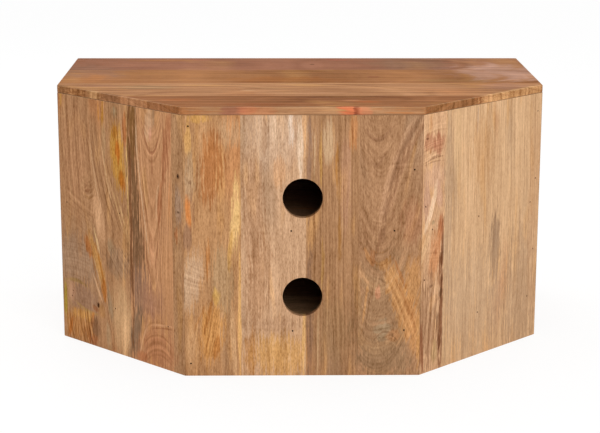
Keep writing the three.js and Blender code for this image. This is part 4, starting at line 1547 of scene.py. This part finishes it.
# Pins in their sunk holes
pin_places = []
for wall_name, places in WALL_PINS.items():
    wall = WALLS[wall_name]
    for along, height in places:
        pin_places.append((on_wall(wall, along * MM, height * MM, PIN_SINK), outward(wall)))
fasten("wall_pins", PIN_HEAD, pin_places, "case")

# Small fittings
SMALL_EASE = 0.25 * MM
CATCH_EASE = 0.5 * MM
for side in SIDES:
    for height in ("lower", "upper"):
        for part in ("frame_leaf", "door_leaf", "pin"):
            dress(f"{side}_{height}_hinge_{part}", antique_brass, 0.0)
    dress(side + "_knob_screw", zinc_steel, 0.0)
    dress(side + "_catch_magnet", zinc_steel, SMALL_EASE)
    dress(side + "_strike_plate", zinc_steel, SMALL_EASE)
dress("catch_body", brown_plastic, CATCH_EASE)


# Floor, world and lights
WORLD_LIGHT = 0.78
WHITE = (1, 1, 1, 1)
FLOOR_HALF = 40
FLOOR_COLOUR = (0.93, 0.93, 0.93, 1)
FLOOR_SHADOW_SHARE = 0.18
FLOOR_GLOW = 1.04


def seen_ray(nodes):
    """1 for rays from the camera, and for those that metal and glass send on."""
    total = nodes.add("ShaderNodeLightPath", output="Is Camera Ray")
    outputs = total.socket.node.outputs
    for other in ("Is Glossy Ray", "Is Transmission Ray"):
        total = nodes.math("MAXIMUM", total, Wire(nodes, outputs[other]))
    return total


def add_world():
    world = bpy.data.worlds.new("studio")
    world.use_nodes = True
    bpy.context.scene.world = world
    studio = Nodes(world.node_tree)
    strength = seen_ray(studio) * (1 - WORLD_LIGHT) + WORLD_LIGHT
    studio.end("ShaderNodeOutputWorld", studio.add("ShaderNodeBackground", {0: WHITE, 1: strength}))


def add_floor():
    white = Material("white_floor")
    diffuse = white.add("ShaderNodeBsdfDiffuse", {0: FLOOR_COLOUR})
    glow = white.add("ShaderNodeEmission", {1: FLOOR_GLOW})
    glow_share = seen_ray(white) * (1 - FLOOR_SHADOW_SHARE)
    blend = white.add("ShaderNodeMixShader", {0: glow_share, 1: diffuse, 2: glow})
    white.end("ShaderNodeOutputMaterial", blend)
    shape = bmesh.new()
    bmesh.ops.create_grid(shape, x_segments=1, y_segments=1, size=FLOOR_HALF)
    floor = shown("floor", shape, white.material)


def add_lamp(name, place, target, size, power):
    data = bpy.data.lights.new(name, "AREA")
    data.shape = "SQUARE"
    data.size = size
    data.energy = power
    lamp = bpy.data.objects.new(name, data)
    lamp.location = place
    lamp.rotation_euler = (target - Vector(place)).to_track_quat("-Z", "Y").to_euler()
    bpy.context.scene.collection.objects.link(lamp)


add_world()
add_floor()
case_middle = Vector((0, 0, case_height / 2))
add_lamp("key", place=(-1.2, 3.8, 1.6), target=case_middle, size=2.4, power=60)
add_lamp("front_fill", place=(1.2, -2.6, 3.4), target=case_middle, size=2.4, power=30)

bpy.context.scene.view_settings.view_transform = "Standard"
